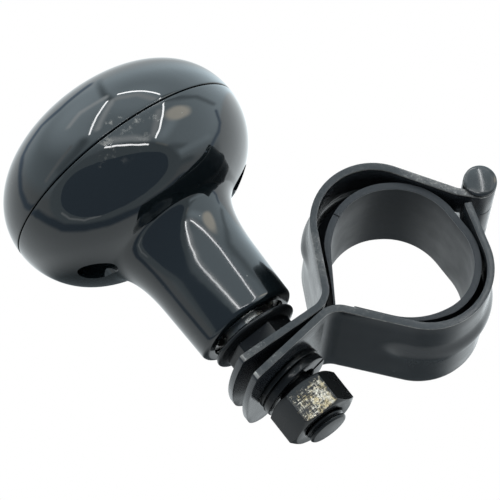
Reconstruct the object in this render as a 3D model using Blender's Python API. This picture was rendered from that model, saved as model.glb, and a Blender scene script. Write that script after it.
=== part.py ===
"""Spinner knob for a steering wheel: a two-part knob on ball bearings, carried by a bolt that also
closes a hinged two-strap clamp round the wheel's rim.

Lengths are in metres. The origin is the centre of the clamp's bore, +X points to the clamp's hinge,
-Y is the side of the hinge pin's head, and +Z runs along the spindle bolt up to the knob's dome.
"""
import math

import bmesh
import bpy
from mathutils import Matrix, Vector

MM = 0.001
GAP = 0.3 * MM

# Spindle line
BOLT_X = -35.0 * MM
SPINDLE = Vector((BOLT_X, 0, 0))
BOLT_R = 5.0 * MM
BOLT_END_Z = -20.3 * MM
BOLT_CHAMFER = 0.8 * MM
HEAD_AF = 17.0 * MM
HEAD_H = 6.4 * MM
BORE_R = BOLT_R + GAP

# Steel straps
STRAP_T = 1.65 * MM
STRAP_W = 34.0 * MM
HALF_W = STRAP_W / 2
HINGE = Vector((25.87 * MM, 3.72 * MM))
PIN_AXIS = Vector((HINGE.x, 0, HINGE.y))
PIN_R = 2.05 * MM
CURL_R = PIN_R + GAP
BARREL_R = CURL_R + STRAP_T
CURL_TURN = math.radians(290)
TAB_HALF = 6.2 * MM
PIN_HEAD_R = BARREL_R - 0.1 * MM
PIN_HEAD_H = 1.1 * MM
PEEN_R = 1.5 * PIN_R
PEEN_H = 0.9 * MM

UPPER_EAR_TOP = 1.68 * MM
UPPER_ARC = Vector((-0.3 * MM, 10.0 * MM))
UPPER_ARC_R = 15.0 * MM
UPPER_FLANK = math.radians(63.4)
UPPER_FALL = math.radians(-56.3)
UPPER_CUT_BACK = 4.6 * MM

LOWER_EAR_TILT = math.radians(8.4)
LOWER_EAR_Z = -3.6 * MM
LOWER_ARC = Vector((3.0 * MM, -6.0 * MM))
LOWER_ARC_R = 15.5 * MM
LOWER_FLANK = math.radians(-49.4)
LOWER_RISE = math.radians(74)

EAR_BEND_R = 5.0 * MM
KINK_R = 4.0 * MM
UPPER_KINK_RISE = 2.0 * MM
LOWER_KINK_DROP = 3.0 * MM
EAR_REACH = 12.4 * MM
EAR_SAGITTA = 2.4 * MM
EAR_CORNER_R = 1.5 * MM
EAR_END_STEPS = 8
EAR_SLOT_OUT = 1.1 * MM
EAR_SLOT_IN = 0.2 * MM
CUT_REACH = 2 * UPPER_ARC_R

# Pressed bead along the middle of each strap
BEAD_H = 1.15 * MM
BEAD_HALF = 6.2 * MM
UPPER_BEAD_START = 33.2 * MM
LOWER_BEAD_START = 32.0 * MM
BEAD_HINGE_MARGIN = 5.0 * MM
BEAD_SHARES = (0, 0.4, 0.74, 1)
SHORTEST_CELL = 0.2 * MM

# Rubber liner inside the clamp
LINER_W = 30.6 * MM
LINER_T = 1.9 * MM
LINER_TIP_T = 0.45 * MM
LINER_UPPER_TAPER = 15.0 * MM
LINER_LOWER_TAPER = 23.0 * MM
RIB_HALF = 4.9 * MM
RIB_TOP = 3.2 * MM
RIB_SIDE = 1.5 * MM
RIB_CREST = math.radians(95)
RIB_CROWN = 0.75
LINER_TAILS = (8.3 * MM, 2.5 * MM)
# Straight runs of the liner's inner face: a point (x, z) on each, in mm, and its heading in degrees
LINER_RUNS = (((-15.0, 6.51), 57.5), ((-6.1, 16.0), 25), ((6.3, 16.15), -31), ((15.35, 0), -90),
              ((9.0, -14.8), -150), ((-1.0, -16.1), -190), ((-14.58, -5.35), -230.2))
LINER_BENDS = (18, 13.9, 15.2, 13.3, 12, 17.5)

# Washers and nuts
WASHER_R = 9.0 * MM
WASHER_T = 1.2 * MM
WASHER_BORE = BOLT_R + 0.5 * MM
SPRING_R = 9.05 * MM
SPRING_T = 1.9 * MM
SPRING_GAP = math.radians(11)
SPRING_SPLIT = math.radians(-30)
SPRING_LIFT = 0.25 * MM
NUT_AF = 16.0 * MM
NUT_H = 9.0 * MM
NUT_TURN = math.radians(-5.5)
NUT_TOP_Z = -9.05 * MM
FLANGE_AF = 15.0 * MM
FLANGE_R = 10.9 * MM
FLANGE_T = 2.3 * MM
FLANGE_NUT_H = 7.5 * MM
FLANGE_TURN = math.radians(-15)
FLANGE_EDGE_R = 0.3 * FLANGE_T
FLANGE_FACE_R = 0.86 * FLANGE_R
CHAMFER_SHARE = 0.97
CHAMFER_SLOPE = math.tan(math.radians(30))

# Ball bearings, upper and lower alike
BEARING_R = 9.5 * MM
BEARING_W = 5.0 * MM
BEARING_SPAN = 24.3 * MM
BALLS = 8
BALL_R = 1.1 * MM
PITCH_R = 7.4 * MM
RACE_R = BALL_R + GAP
SHOULDER = 0.95 * MM
CAGE_HALF = 0.6 * MM
POCKET_EASE = 1.15
SPACER_R = 6.6 * MM
LOWER_SPACER_H = 2.2 * MM
HEAD_WASHER_R = 8.6 * MM
HEAD_WASHER_T = 2.0 * MM

# Knob
SEAM_Z = 59.22 * MM
SEAM_R = 31.4 * MM
DOME_H = 21.45 * MM
KNOB_WALL = 2.7 * MM
SEAM_GAP = GAP
NECK_R = 12.68 * MM
NECK_TOP_R = 13.12 * MM
NECK_TOP_Z = 26.4 * MM
NECK_END_Z = 10.95 * MM
NECK_EDGE_R = 1.4 * MM
FLARE_R = 18.14 * MM
FLARE_Z = 41.03 * MM
FLARE_ANGLE = math.radians(70)
NECK_PULL = 7.85 * MM
NECK_FLARE_PULL = 3.11 * MM
SEAM_PULL = 7.82 * MM
# How far each curve holds its end's direction, as a share of the way to go: out, or up and in
FLARE_TENSION = 0.67
DOME_TENSIONS = (0.628, 0.576)
VAULT_TENSIONS = (0.64, 0.603)
WAIST_STEP = 1.5 * MM
FLOOR_LEDGE = 2.5 * MM
LIP_H = 2.0 * MM
LIP_T = 1.2 * MM
SCREW_PCR = (NECK_R + SEAM_R - KNOB_WALL) / 2
SCREW_FIRST = math.radians(-175)
SCREWS = 2
WELL_R = 4.1 * MM
WELL_WALL = 1.8 * MM
WELL_TOP_Z = 52.0 * MM
SCREW_HEAD_R = 3.4 * MM
SCREW_HEAD_H = 2.4 * MM
SCREW_R = 1.5 * MM
SCREW_L = 12.5 * MM
SCREW_POINT = 1.0 * MM
BOSS_R = 4.2 * MM

KNOB_SEGMENTS = 36
ROUND_SEGMENTS = 32
SMALL_SEGMENTS = 24
SCREW_SEGMENTS = 16
WELL_SEGMENTS = 20
CHAMFER_SEGMENTS = 48
SPRING_STEPS = 30
ARC_STEP = math.radians(10)
CURL_STEP = math.radians(18)


def clear_scene():
    for thing in list(bpy.data.objects):
        bpy.data.objects.remove(thing, do_unlink=True)


def material(name, colour, roughness, metallic):
    """A Principled material in one plain colour."""
    new = bpy.data.materials.new(name)
    new.use_nodes = True
    shader = new.node_tree.nodes["Principled BSDF"]
    shader.inputs["Base Color"].default_value = (*colour, 1)
    shader.inputs["Roughness"].default_value = roughness
    shader.inputs["Metallic"].default_value = metallic
    new.diffuse_color = (*colour, 1)
    return new


def finish(name, bm, look, place=(0, 0, 0), sharp=35):
    """Turn a bmesh into a shaded, named object with its origin at a place."""
    bmesh.ops.recalc_face_normals(bm, faces=bm.faces)
    mesh = bpy.data.meshes.new(name)
    bm.to_mesh(mesh)
    bm.free()
    mesh.shade_smooth()
    mesh.set_sharp_from_angle(angle=math.radians(sharp))
    mesh.materials.append(look)
    made = bpy.data.objects.new(name, mesh)
    made.location = place
    bpy.context.scene.collection.objects.link(made)
    return made


def boolean(target, tool, operation="DIFFERENCE"):
    """Cut or join a hidden tool object into the target."""
    modifier = target.modifiers.new(tool.name, "BOOLEAN")
    modifier.operation = operation
    modifier.solver = "EXACT"
    modifier.object = tool
    tool.hide_render = True
    tool.display_type = "WIRE"


def turned(profile, segments=ROUND_SEGMENTS):
    """A closed turned body. The profile is (radius, z) in order round the section. One that starts and
    ends at radius 0 closes on the axis, with a single round face where its end is level."""
    bm = bmesh.new()
    rings = []
    for radius, z in profile:
        if radius == 0:
            rings.append([bm.verts.new((0, 0, z))])
            continue
        angles = [2 * math.pi * k / segments for k in range(segments)]
        rings.append([bm.verts.new((radius * math.cos(a), radius * math.sin(a), z)) for a in angles])
    pairs = list(zip(rings, rings[1:]))
    if profile[0][0] > 0:
        pairs.append((rings[-1], rings[0]))
    for low, high in pairs:
        pole, edge = (low, high) if len(low) == 1 else (high, low)
        if len(pole) == 1 and pole[0].co.z == edge[0].co.z:
            bm.faces.new(edge)
            bm.verts.remove(pole[0])
            continue
        for k in range(segments):
            n = (k + 1) % segments
            corners = [low[k % len(low)], low[n % len(low)], high[n % len(high)], high[k % len(high)]]
            bm.faces.new(dict.fromkeys(corners))
    return bm


def moved(bm, place, turn=None):
    """Move a bmesh to a place, after an optional rotation matrix."""
    if turn:
        bmesh.ops.transform(bm, matrix=turn, verts=bm.verts)
    bmesh.ops.translate(bm, vec=place, verts=bm.verts)
    return bm


def fillet(centre, radius, start, end, count=4):
    """Points on an arc of a (radius, z) section, angles in degrees."""
    angles = [math.radians(start + (end - start) * k / count) for k in range(count + 1)]
    return [(centre[0] + radius * math.cos(a), centre[1] + radius * math.sin(a)) for a in angles]


def bezier(p0, p1, p2, p3, count):
    """Points along a cubic curve, without its first point."""
    points = []
    for k in range(1, count + 1):
        t = k / count
        u = 1 - t
        weights = (u ** 3, 3 * u * u * t, 3 * u * t * t, t ** 3)
        points.append(tuple(sum(w * p[i] for w, p in zip(weights, (p0, p1, p2, p3))) for i in (0, 1)))
    return points


def prism(outline, low, high):
    """An upright prism over an outline of (x, y) points."""
    bm = bmesh.new()
    base = bm.faces.new([bm.verts.new((x, y, low)) for x, y in outline])
    risen = bmesh.ops.extrude_face_region(bm, geom=[base])
    tops = [item for item in risen["geom"] if isinstance(item, bmesh.types.BMVert)]
    bmesh.ops.translate(bm, vec=(0, 0, high - low), verts=tops)
    return bm


def cylinder(radius, low, high, segments=ROUND_SEGMENTS):
    return turned([(0, low), (radius, low), (radius, high), (0, high)], segments)


def normal_left(angle):
    return Vector((-math.sin(angle), math.cos(angle)))


def heading(angle):
    return Vector((math.cos(angle), math.sin(angle)))


def meet(p, p_angle, q, q_angle):
    """Where the line through p meets the line through q."""
    step = heading(p_angle)
    across = normal_left(q_angle)
    return p + step * ((q - p).dot(across) / step.dot(across))


def arc_corner(centre, radius, before, after):
    """The corner whose fillet is the arc about a centre, between two headings."""
    side = math.copysign(1, after - before)
    start = centre - normal_left(before) * radius * side
    end = centre - normal_left(after) * radius * side
    return meet(start, before, end, after)


def toward_curl(start, side):
    """Heading from a point to the curl round the hinge pin, which lies to the left (1) or right (-1)."""
    reach = HINGE - start
    return math.atan2(reach.y, reach.x) - side * math.asin(CURL_R / reach.length)


def rounded(corners, step=ARC_STEP):
    """Stations (point, heading) along a line of corners, each corner with its fillet radius."""
    stations = [(corners[0][0], heading_between(corners[0][0], corners[1][0]))]
    for (before, _), (corner, radius), (after, _) in zip(corners, corners[1:], corners[2:]):
        h0 = heading_between(before, corner)
        h1 = heading_between(corner, after)
        turn = (h1 - h0 + math.pi) % (2 * math.pi) - math.pi
        start = corner - heading(h0) * abs(radius * math.tan(turn / 2))
        stations += arc(start, h0, radius, turn, step)
    last, end = corners[-2][0], corners[-1][0]
    stations.append((end, stations[-1][1] if last == end else heading_between(last, end)))
    return stations


def heading_between(p, q):
    return math.atan2(q.y - p.y, q.x - p.x)


def arc(start, angle, radius, turn, step=ARC_STEP):
    """Stations along an arc that starts at a point with a heading."""
    side = math.copysign(1, turn)
    centre = start + normal_left(angle) * radius * side
    count = max(2, math.ceil(abs(turn) / step))
    headings = [angle + turn * k / count for k in range(count + 1)]
    return [(centre - normal_left(h) * radius * side, h) for h in headings]


def measured(stations):
    """Add the length walked so far to each station."""
    walked = 0
    result = []
    previous = stations[0][0]
    for point, angle in stations:
        walked += (point - previous).length
        previous = point
        result.append((point, angle, walked))
    return result


def with_stops(stations, stops):
    """Put extra stations at given lengths along the straight runs and chords."""
    result = [stations[0]]
    for (p, a, s), (q, b, t) in zip(stations, stations[1:]):
        for stop in sorted(stops):
            if s + SHORTEST_CELL < stop < t - SHORTEST_CELL:
                share = (stop - s) / (t - s)
                result.append((p.lerp(q, share), a + (b - a) * share, stop))
        result.append((q, b, t))
    return result


def bead_height(walked, y, start, end):
    """Height of the pressed bead: a rounded band between two lengths, with round ends."""
    past = max(start - walked, walked - end, 0)
    away = math.hypot(past, y)
    if away >= BEAD_HALF:
        return 0
    return BEAD_H * math.cos(math.pi / 2 * away / BEAD_HALF) ** 2


def sheet(stations, columns, outer, inner, kept):
    """A closed body from a grid of cells. outer and inner give the offset along the left normal at a
    station and a column, and kept says which cells are metal."""
    bm = bmesh.new()
    grid = {}

    def corner(i, j, side):
        key = (i, j, side)
        if key not in grid:
            point, angle, walked = stations[i]
            offset = (outer if side else inner)(walked, columns[j])
            at = point + normal_left(angle) * offset
            grid[key] = bm.verts.new((at.x, columns[j], at.y))
        return grid[key]

    rows = range(len(stations) - 1)
    spans = range(len(columns) - 1)

    def filled(i, j):
        if i not in rows or j not in spans:
            return False
        walked = (stations[i][2] + stations[i + 1][2]) / 2
        return kept(walked, (columns[j] + columns[j + 1]) / 2)

    for i in rows:
        for j in spans:
            if not filled(i, j):
                continue
            for side in (0, 1):
                bm.faces.new([corner(*at, side) for at in ((i, j), (i + 1, j), (i + 1, j + 1), (i, j + 1))])
            edges = (((i - 1, j), (i, j), (i, j + 1)), ((i + 1, j), (i + 1, j), (i + 1, j + 1)),
                     ((i, j - 1), (i, j), (i + 1, j)), ((i, j + 1), (i, j + 1), (i + 1, j + 1)))
            for neighbour, a, b in edges:
                if not filled(*neighbour):
                    bm.faces.new([corner(*a, 0), corner(*b, 0), corner(*b, 1), corner(*a, 1)])
    return bm


def ear_end_cutter(name, reach, look):
    """Trims an ear's free end to a shallow arc with small round corners."""
    corner_x = BOLT_X - reach + EAR_SAGITTA
    inset = HALF_W - EAR_CORNER_R
    soft = 0.3 * EAR_CORNER_R
    edge = [(corner_x + EAR_CORNER_R + GAP, -HALF_W - GAP), (corner_x + soft, -HALF_W + soft)]
    for k in range(EAR_END_STEPS + 1):
        y = -inset + 2 * inset * k / EAR_END_STEPS
        edge.append((corner_x - EAR_SAGITTA * (1 - (y / inset) ** 2), y))
    edge += [(x, -y) for x, y in reversed(edge[:2])]
    far = BOLT_X - 2 * reach
    outline = edge + [(far, HALF_W + GAP), (far, -HALF_W - GAP)]
    return finish(name, prism(outline, -CUT_REACH, CUT_REACH), look)


def curled(corners, kink, side):
    """Stations of a strap's outer face, and the length at which its curl round the pin starts."""
    last = toward_curl(kink, side)
    touch = HINGE - normal_left(last) * CURL_R * side
    stations = rounded([*corners, (kink, KINK_R), (touch, 0)])
    straight = measured(stations)[-1][2]
    stations += arc(touch, last, CURL_R, side * CURL_TURN, CURL_STEP)[1:]
    return measured(stations), straight


def upper_path():
    """The upper strap's outer face: level ear, flank, arch, fall and a curl under the pin."""
    ear = Vector((BOLT_X - EAR_REACH - STRAP_T, UPPER_EAR_TOP))
    top = arc_corner(UPPER_ARC, UPPER_ARC_R, UPPER_FLANK, UPPER_FALL)
    bend = meet(ear, 0, top, UPPER_FLANK)
    kink = meet(top, UPPER_FALL, HINGE + Vector((0, UPPER_KINK_RISE)), 0)
    return curled([(ear, 0), (bend, EAR_BEND_R), (top, UPPER_ARC_R)], kink, 1)


def lower_path():
    """The lower strap's outer face: tilted ear, flank, trough, rise and a curl over the pin."""
    ear = Vector((BOLT_X, LOWER_EAR_Z)) - heading(LOWER_EAR_TILT) * (EAR_REACH + STRAP_T)
    bottom = arc_corner(LOWER_ARC, LOWER_ARC_R, LOWER_FLANK, LOWER_RISE)
    bend = meet(ear, LOWER_EAR_TILT, bottom, LOWER_FLANK)
    kink = meet(bottom, LOWER_RISE, HINGE - Vector((0, LOWER_KINK_DROP)), 0)
    return curled([(ear, 0), (bend, EAR_BEND_R), (bottom, LOWER_ARC_R)], kink, -1)


def strap_columns(split):
    half = [0, BEAD_HALF * BEAD_SHARES[1], BEAD_HALF * BEAD_SHARES[2], split, HALF_W]
    return [-y for y in reversed(half[1:])] + half


def upper_strap(look):
    stations, straight = upper_path()
    split = TAB_HALF + GAP
    cut = straight - UPPER_CUT_BACK
    bead = (UPPER_BEAD_START + EAR_REACH + STRAP_T, cut - BEAD_HINGE_MARGIN)
    tip = [bead[0] - BEAD_HALF * share for share in BEAD_SHARES]
    tail = [bead[1] + BEAD_HALF * share for share in (0, 0.5)]
    stations = with_stops(stations, tip + tail + [cut])
    bm = sheet(stations, strap_columns(split),
               lambda s, y: bead_height(s, y, *bead),
               lambda s, y: bead_height(s, y, *bead) - STRAP_T,
               lambda s, y: s < cut or abs(y) > split)
    made = finish("upper_strap", bm, look)
    boolean(made, ear_end_cutter("cut_upper_ear_end", EAR_REACH, look))
    hole = cylinder(BORE_R, -CUT_REACH, CUT_REACH)
    boolean(made, finish("cut_upper_ear_hole", hole, look, SPINDLE))
    return made


def slot_outline(radius, low, high, count=ROUND_SEGMENTS):
    """Outline of a slot along X between two centres."""
    outline = []
    for k in range(count):
        angle = 2 * math.pi * (k + 0.5) / count
        centre = high if math.cos(angle) > 0 else low
        outline.append((centre + radius * math.cos(angle), radius * math.sin(angle)))
    return outline


def lower_strap(look):
    stations, straight = lower_path()
    corner_cut = next(s for p, a, s in stations if s > straight / 2 and p.y > HINGE.y - LOWER_KINK_DROP)
    bead = (LOWER_BEAD_START + EAR_REACH + STRAP_T, corner_cut - BEAD_HINGE_MARGIN)
    tip = [bead[0] - BEAD_HALF * share for share in BEAD_SHARES]
    stations = with_stops(stations, tip)
    bm = sheet(stations, strap_columns(TAB_HALF),
               lambda s, y: -bead_height(s, y, *bead),
               lambda s, y: STRAP_T - bead_height(s, y, *bead),
               lambda s, y: s < corner_cut or abs(y) < TAB_HALF)
    made = finish("lower_strap", moved(bm, -PIN_AXIS), look, PIN_AXIS)
    boolean(made, ear_end_cutter("cut_lower_ear_end", EAR_REACH, look))
    outline = slot_outline(WASHER_BORE, BOLT_X - EAR_SLOT_OUT, BOLT_X + EAR_SLOT_IN)
    slot = prism(outline, -CUT_REACH, 0)
    boolean(made, finish("cut_lower_ear_hole", slot, look))
    return made


def liner_path():
    """Stations of the liner's inner face, from the upper tail round the bore to the lower tail."""
    lines = [(Vector(point) * MM, math.radians(angle)) for point, angle in LINER_RUNS]
    start = lines[0][0] - heading(lines[0][1]) * LINER_TAILS[0]
    end = lines[-1][0] + heading(lines[-1][1]) * LINER_TAILS[1]
    corners = [(meet(*one, *two), radius * MM) for one, two, radius in zip(lines, lines[1:], LINER_BENDS)]
    return measured(rounded([(start, 0), *corners, (end, 0)]))


def strap_inner_faces():
    """Both straps' inner faces as runs of points, up to their curls."""
    faces = []
    for side, (stations, straight) in ((1, upper_path()), (-1, lower_path())):
        faces.append([p - normal_left(a) * STRAP_T * side for p, a, s in stations if s <= straight])
    return faces


def clear_way(start, direction, faces):
    """Distance from a point to the first face that its direction meets."""
    nearest = HALF_W
    for face in faces:
        for p, q in zip(face, face[1:]):
            edge = q - p
            slant = direction.cross(edge)
            if slant == 0:
                continue
            away = (p - start).cross(edge) / slant
            share = (p - start).cross(direction) / slant
            if away > 0 and 0 <= share <= 1:
                nearest = min(nearest, away)
    return nearest


def rim_liner(look):
    stations = liner_path()
    length = stations[-1][2]
    bearing = {s: math.atan2(p.y, p.x) for p, a, s in stations}
    walls = strap_inner_faces()
    room = {s: clear_way(p, normal_left(a), walls) for p, a, s in stations}

    def wall(s):
        near = min(s / LINER_UPPER_TAPER, (length - s) / LINER_LOWER_TAPER, 1)
        return LINER_TIP_T + (LINER_T - LINER_TIP_T) * near ** 2

    def rib(s):
        if s < LINER_UPPER_TAPER or length - s < LINER_LOWER_TAPER:
            return 0
        crest = max(0, math.cos(bearing[s] - RIB_CREST)) ** 4
        tall = RIB_SIDE + (RIB_TOP - RIB_SIDE) * crest
        return max(0, min(tall, room[s] - GAP - wall(s)))

    half = LINER_W / 2
    crown = RIB_HALF * RIB_CROWN
    columns = [-half, -RIB_HALF, -crown, crown, RIB_HALF, half]
    bm = sheet(stations, columns,
               lambda s, y: wall(s) + (rib(s) if abs(y) <= crown else 0),
               lambda s, y: 0,
               lambda s, y: True)
    return finish("rim_liner", bm, look)


def hinge_pin(look):
    """Riveted pin: a low domed head in front, the shank, and the peened end behind."""
    head = -HALF_W - GAP
    front = head - PIN_HEAD_H
    back = HALF_W + GAP
    falls = ((0.5, 0.07), (0.78, 0.27), (1, 0.73))
    dome = [(PIN_HEAD_R * out, front + PIN_HEAD_H * fall) for out, fall in falls]
    peen = [(PEEN_R * out, back + PEEN_H * rise) for out, rise in ((1, 0), (0.9, 0.67), (0.4, 1))]
    section = [(0, front), *dome, (PIN_HEAD_R, head), (PIN_R, head), (PIN_R, back), *peen, (0, back + PEEN_H)]
    bm = turned(section, SMALL_SEGMENTS)
    moved(bm, (0, 0, 0), Matrix.Rotation(math.radians(-90), 4, "X"))
    return finish("hinge_pin", bm, look, PIN_AXIS)


def hexagon(across_flats, turn):
    """Corners of a hexagon whose first flat faces -Y before the turn."""
    radius = across_flats / math.sqrt(3)
    angles = [turn + math.radians(60 * k - 60) for k in range(6)]
    return [(radius * math.cos(a), radius * math.sin(a)) for a in angles]


def hex_body(name, across_flats, low, high, turn, look, chamfered_low=True):
    """A hexagon on the spindle line whose corners are turned off to a cone."""
    made = finish(name, prism(hexagon(across_flats, turn), low, high), look, SPINDLE)
    face_r = CHAMFER_SHARE * across_flats / 2
    corner_r = across_flats / math.sqrt(3)
    drop = (corner_r - across_flats / 2 + GAP) * CHAMFER_SLOPE
    reach = corner_r + GAP
    bottom = [(0, low - GAP), (face_r, low - GAP), (face_r, low), (reach, low + drop)]
    if not chamfered_low:
        bottom = [(0, low - GAP), (reach, low - GAP)]
    top = [(reach, high - drop), (face_r, high), (face_r, high + GAP), (0, high + GAP)]
    cone = finish("cone_" + name, turned(bottom + top, CHAMFER_SEGMENTS), look, SPINDLE)
    boolean(made, cone, "INTERSECT")
    return made


def bored(made, low, high, look):
    """Run the bolt's bore through a nut."""
    hole = cylinder(BORE_R, low - BOLT_R, high + BOLT_R)
    boolean(made, finish("bore_" + made.name, hole, look, SPINDLE))
    return made


def clamp_nut(look):
    low = NUT_TOP_Z - NUT_H
    made = hex_body("clamp_nut", NUT_AF, low, NUT_TOP_Z, NUT_TURN, look)
    return bored(made, low, NUT_TOP_Z, look)


def flange_nut(look):
    """Lock nut with its flange up, under the knob, and its hexagon down on the clamp."""
    low = UPPER_EAR_TOP + GAP
    high = low + FLANGE_NUT_H
    made = hex_body("flange_nut", FLANGE_AF, low, high - FLANGE_T / 2, FLANGE_TURN, look)
    rim = (FLANGE_R - FLANGE_EDGE_R, high - 1.5 * FLANGE_EDGE_R)
    section = [(0, high - FLANGE_T), (FLANGE_AF / math.sqrt(3) + GAP, high - FLANGE_T)]
    section += fillet(rim, FLANGE_EDGE_R, -60, 70)
    section += [(FLANGE_FACE_R, high), (0, high)]
    boolean(made, finish("disc_flange_nut", turned(section), look, SPINDLE), "UNION")
    return bored(made, low, high, look)


def split_ring():
    """Ring of square section, centred on its middle, whose two ends stand slightly apart in height."""
    bm = bmesh.new()
    rings = []
    half = SPRING_T / 2
    section = ((WASHER_BORE, -half), (SPRING_R, -half), (SPRING_R, half), (WASHER_BORE, half))
    for k in range(SPRING_STEPS + 1):
        angle = SPRING_SPLIT + SPRING_GAP / 2 + (2 * math.pi - SPRING_GAP) * k / SPRING_STEPS
        lift = SPRING_LIFT * (k / SPRING_STEPS - 0.5)
        rings.append([bm.verts.new((r * math.cos(angle), r * math.sin(angle), z + lift)) for r, z in section])
    for one, two in zip(rings, rings[1:]):
        for k in range(4):
            n = (k + 1) % 4
            bm.faces.new([one[k], one[n], two[n], two[k]])
    bm.faces.new(rings[0])
    bm.faces.new(rings[-1])
    return bm


def ring(name, outer, low, high, look):
    """A plain turned ring on the spindle line."""
    section = [(BORE_R, low), (outer, low), (outer, high), (BORE_R, high)]
    return finish(name, turned(section, SMALL_SEGMENTS), look, SPINDLE)


def clamp_washers(look):
    """The plain and the spring washer, which lie flat on the lower ear and share its tilt."""
    tilt = Matrix.Rotation(-LOWER_EAR_TILT, 4, "Y")

    def under_ear(depth):
        return Vector((BOLT_X, 0, LOWER_EAR_Z - depth / math.cos(LOWER_EAR_TILT)))

    half = WASHER_T / 2
    section = [(WASHER_BORE, -half), (WASHER_R, -half), (WASHER_R, half), (WASHER_BORE, half)]
    finish("plain_washer", moved(turned(section), (0, 0, 0), tilt), look, under_ear(GAP + half))
    depth = 2 * GAP + WASHER_T + (SPRING_T + SPRING_LIFT) / 2
    finish("spring_washer", moved(split_ring(), (0, 0, 0), tilt), look, under_ear(depth))


def race(name, wall_r, side, middle, look):
    """One bearing ring. wall_r is its plain cylindrical side, and its groove faces the balls."""
    groove = PITCH_R + side * RACE_R
    shoulder = PITCH_R + side * SHOULDER
    half = BEARING_W / 2
    bite = math.sqrt(RACE_R ** 2 - SHOULDER ** 2)
    low, high = middle - half, middle + half
    section = [(wall_r, low), (shoulder, low), (shoulder, middle - bite), (groove, middle),
               (shoulder, middle + bite), (shoulder, high), (wall_r, high)]
    return finish(name, turned(section, SMALL_SEGMENTS), look, SPINDLE)


def cage(name, middle, look):
    """Crown cage: a thin ring over the balls with a finger between each two."""
    inner = PITCH_R - CAGE_HALF
    outer = PITCH_R + CAGE_HALF
    top = middle + BEARING_W / 2 - GAP / 2
    slab = middle + BALL_R + GAP
    foot = middle - BALL_R
    pocket = POCKET_EASE * 2 * math.asin((BALL_R + GAP) / 2 / inner)
    half_pitch = math.pi / BALLS
    cuts = []
    for k in range(BALLS):
        ball = 2 * half_pitch * k
        cuts += [(ball - pocket, slab), (ball, slab), (ball + pocket, foot)]
    bm = bmesh.new()
    walls = []
    for angle, _ in cuts:
        walls.append({(r, z): bm.verts.new((r * math.cos(angle), r * math.sin(angle), z))
                      for r in (inner, outer) for z in (top, slab, foot)})
    for k, (_, low) in enumerate(cuts):
        one = walls[k]
        two = walls[(k + 1) % len(walls)]
        before = cuts[k - 1][1]
        levels = [(top, slab)] if low == slab else [(top, slab), (slab, foot)]
        for high_z, low_z in levels:
            for r in (inner, outer):
                bm.faces.new([one[r, high_z], two[r, high_z], two[r, low_z], one[r, low_z]])
        bm.faces.new([one[inner, top], two[inner, top], two[outer, top], one[outer, top]])
        bm.faces.new([one[inner, low], two[inner, low], two[outer, low], one[outer, low]])
        if low != before:
            bm.faces.new([one[inner, slab], one[outer, slab], one[outer, foot], one[inner, foot]])
    loose = [v for v in bm.verts if not v.link_faces]
    bmesh.ops.delete(bm, geom=loose, context="VERTS")
    return finish(name, bm, look, SPINDLE)


def bearing(name, middle, steel, brass):
    """A ball bearing on the spindle: two rings, a cage and its balls."""
    race(name + "_outer_ring", BEARING_R, 1, middle, steel)
    race(name + "_inner_ring", BORE_R, -1, middle, steel)
    cage(name + "_cage", middle, brass)
    for k in range(BALLS):
        angle = 2 * math.pi * k / BALLS
        bm = bmesh.new()
        bmesh.ops.create_icosphere(bm, subdivisions=2, radius=BALL_R)
        centre = (PITCH_R * math.cos(angle), PITCH_R * math.sin(angle), middle)
        finish(f"{name}_ball_{k + 1}", moved(bm, centre), steel, SPINDLE, sharp=60)


def spindle_levels():
    """Heights of the pieces stacked on the spindle, from the clamp's ear upward."""
    levels = {}
    levels["lower_spacer"] = UPPER_EAR_TOP + GAP + FLANGE_NUT_H + GAP
    levels["lower_bearing"] = levels["lower_spacer"] + LOWER_SPACER_H + GAP
    levels["sleeve"] = levels["lower_bearing"] + BEARING_W + GAP
    levels["upper_bearing"] = levels["lower_bearing"] + BEARING_SPAN
    levels["head_washer"] = levels["upper_bearing"] + BEARING_W + GAP
    levels["head"] = levels["head_washer"] + HEAD_WASHER_T + GAP
    return levels


def spindle(steel, brass):
    """Bearings, spacers and the bolt that carries them."""
    levels = spindle_levels()
    low = levels["lower_spacer"]
    ring("lower_spacer", SPACER_R, low, low + LOWER_SPACER_H, steel)
    bearing("lower_bearing", levels["lower_bearing"] + BEARING_W / 2, steel, brass)
    ring("spacer_sleeve", SPACER_R, levels["sleeve"], levels["upper_bearing"] - GAP, steel)
    bearing("upper_bearing", levels["upper_bearing"] + BEARING_W / 2, steel, brass)
    low = levels["head_washer"]
    ring("head_washer", HEAD_WASHER_R, low, low + HEAD_WASHER_T, steel)
    head = levels["head"]
    bolt = hex_body("spindle_bolt", HEAD_AF, head, head + HEAD_H, 0, steel, False)
    neck = BOLT_R - BOLT_CHAMFER
    root = head + BOLT_R
    chamfer = [(neck, BOLT_END_Z), (BOLT_R, BOLT_END_Z + BOLT_CHAMFER)]
    shank = [(0, BOLT_END_Z), *chamfer, (BOLT_R, root), (0, root)]
    boolean(bolt, finish("shank_spindle_bolt", turned(shank), steel, SPINDLE), "UNION")
    return bolt


def knob_outline():
    """Outer section of the knob's lower half, from the neck's edge up to the seam."""
    neck_dir = math.atan2(NECK_TOP_R - NECK_R, NECK_TOP_Z - NECK_END_Z)
    start = (NECK_TOP_R, NECK_TOP_Z)
    first = (start[0] + NECK_PULL * math.sin(neck_dir), start[1] + NECK_PULL * math.cos(neck_dir))
    flare = (FLARE_R, FLARE_Z)
    slope = (math.sin(FLARE_ANGLE), math.cos(FLARE_ANGLE))
    before = (flare[0] - NECK_FLARE_PULL * slope[0], flare[1] - NECK_FLARE_PULL * slope[1])
    edge = fillet((NECK_R - NECK_EDGE_R, NECK_END_Z + NECK_EDGE_R), NECK_EDGE_R, -90, 0, 3)
    return edge + [start] + bezier(start, first, before, flare, 6) + bowl_outline(slope)


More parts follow.
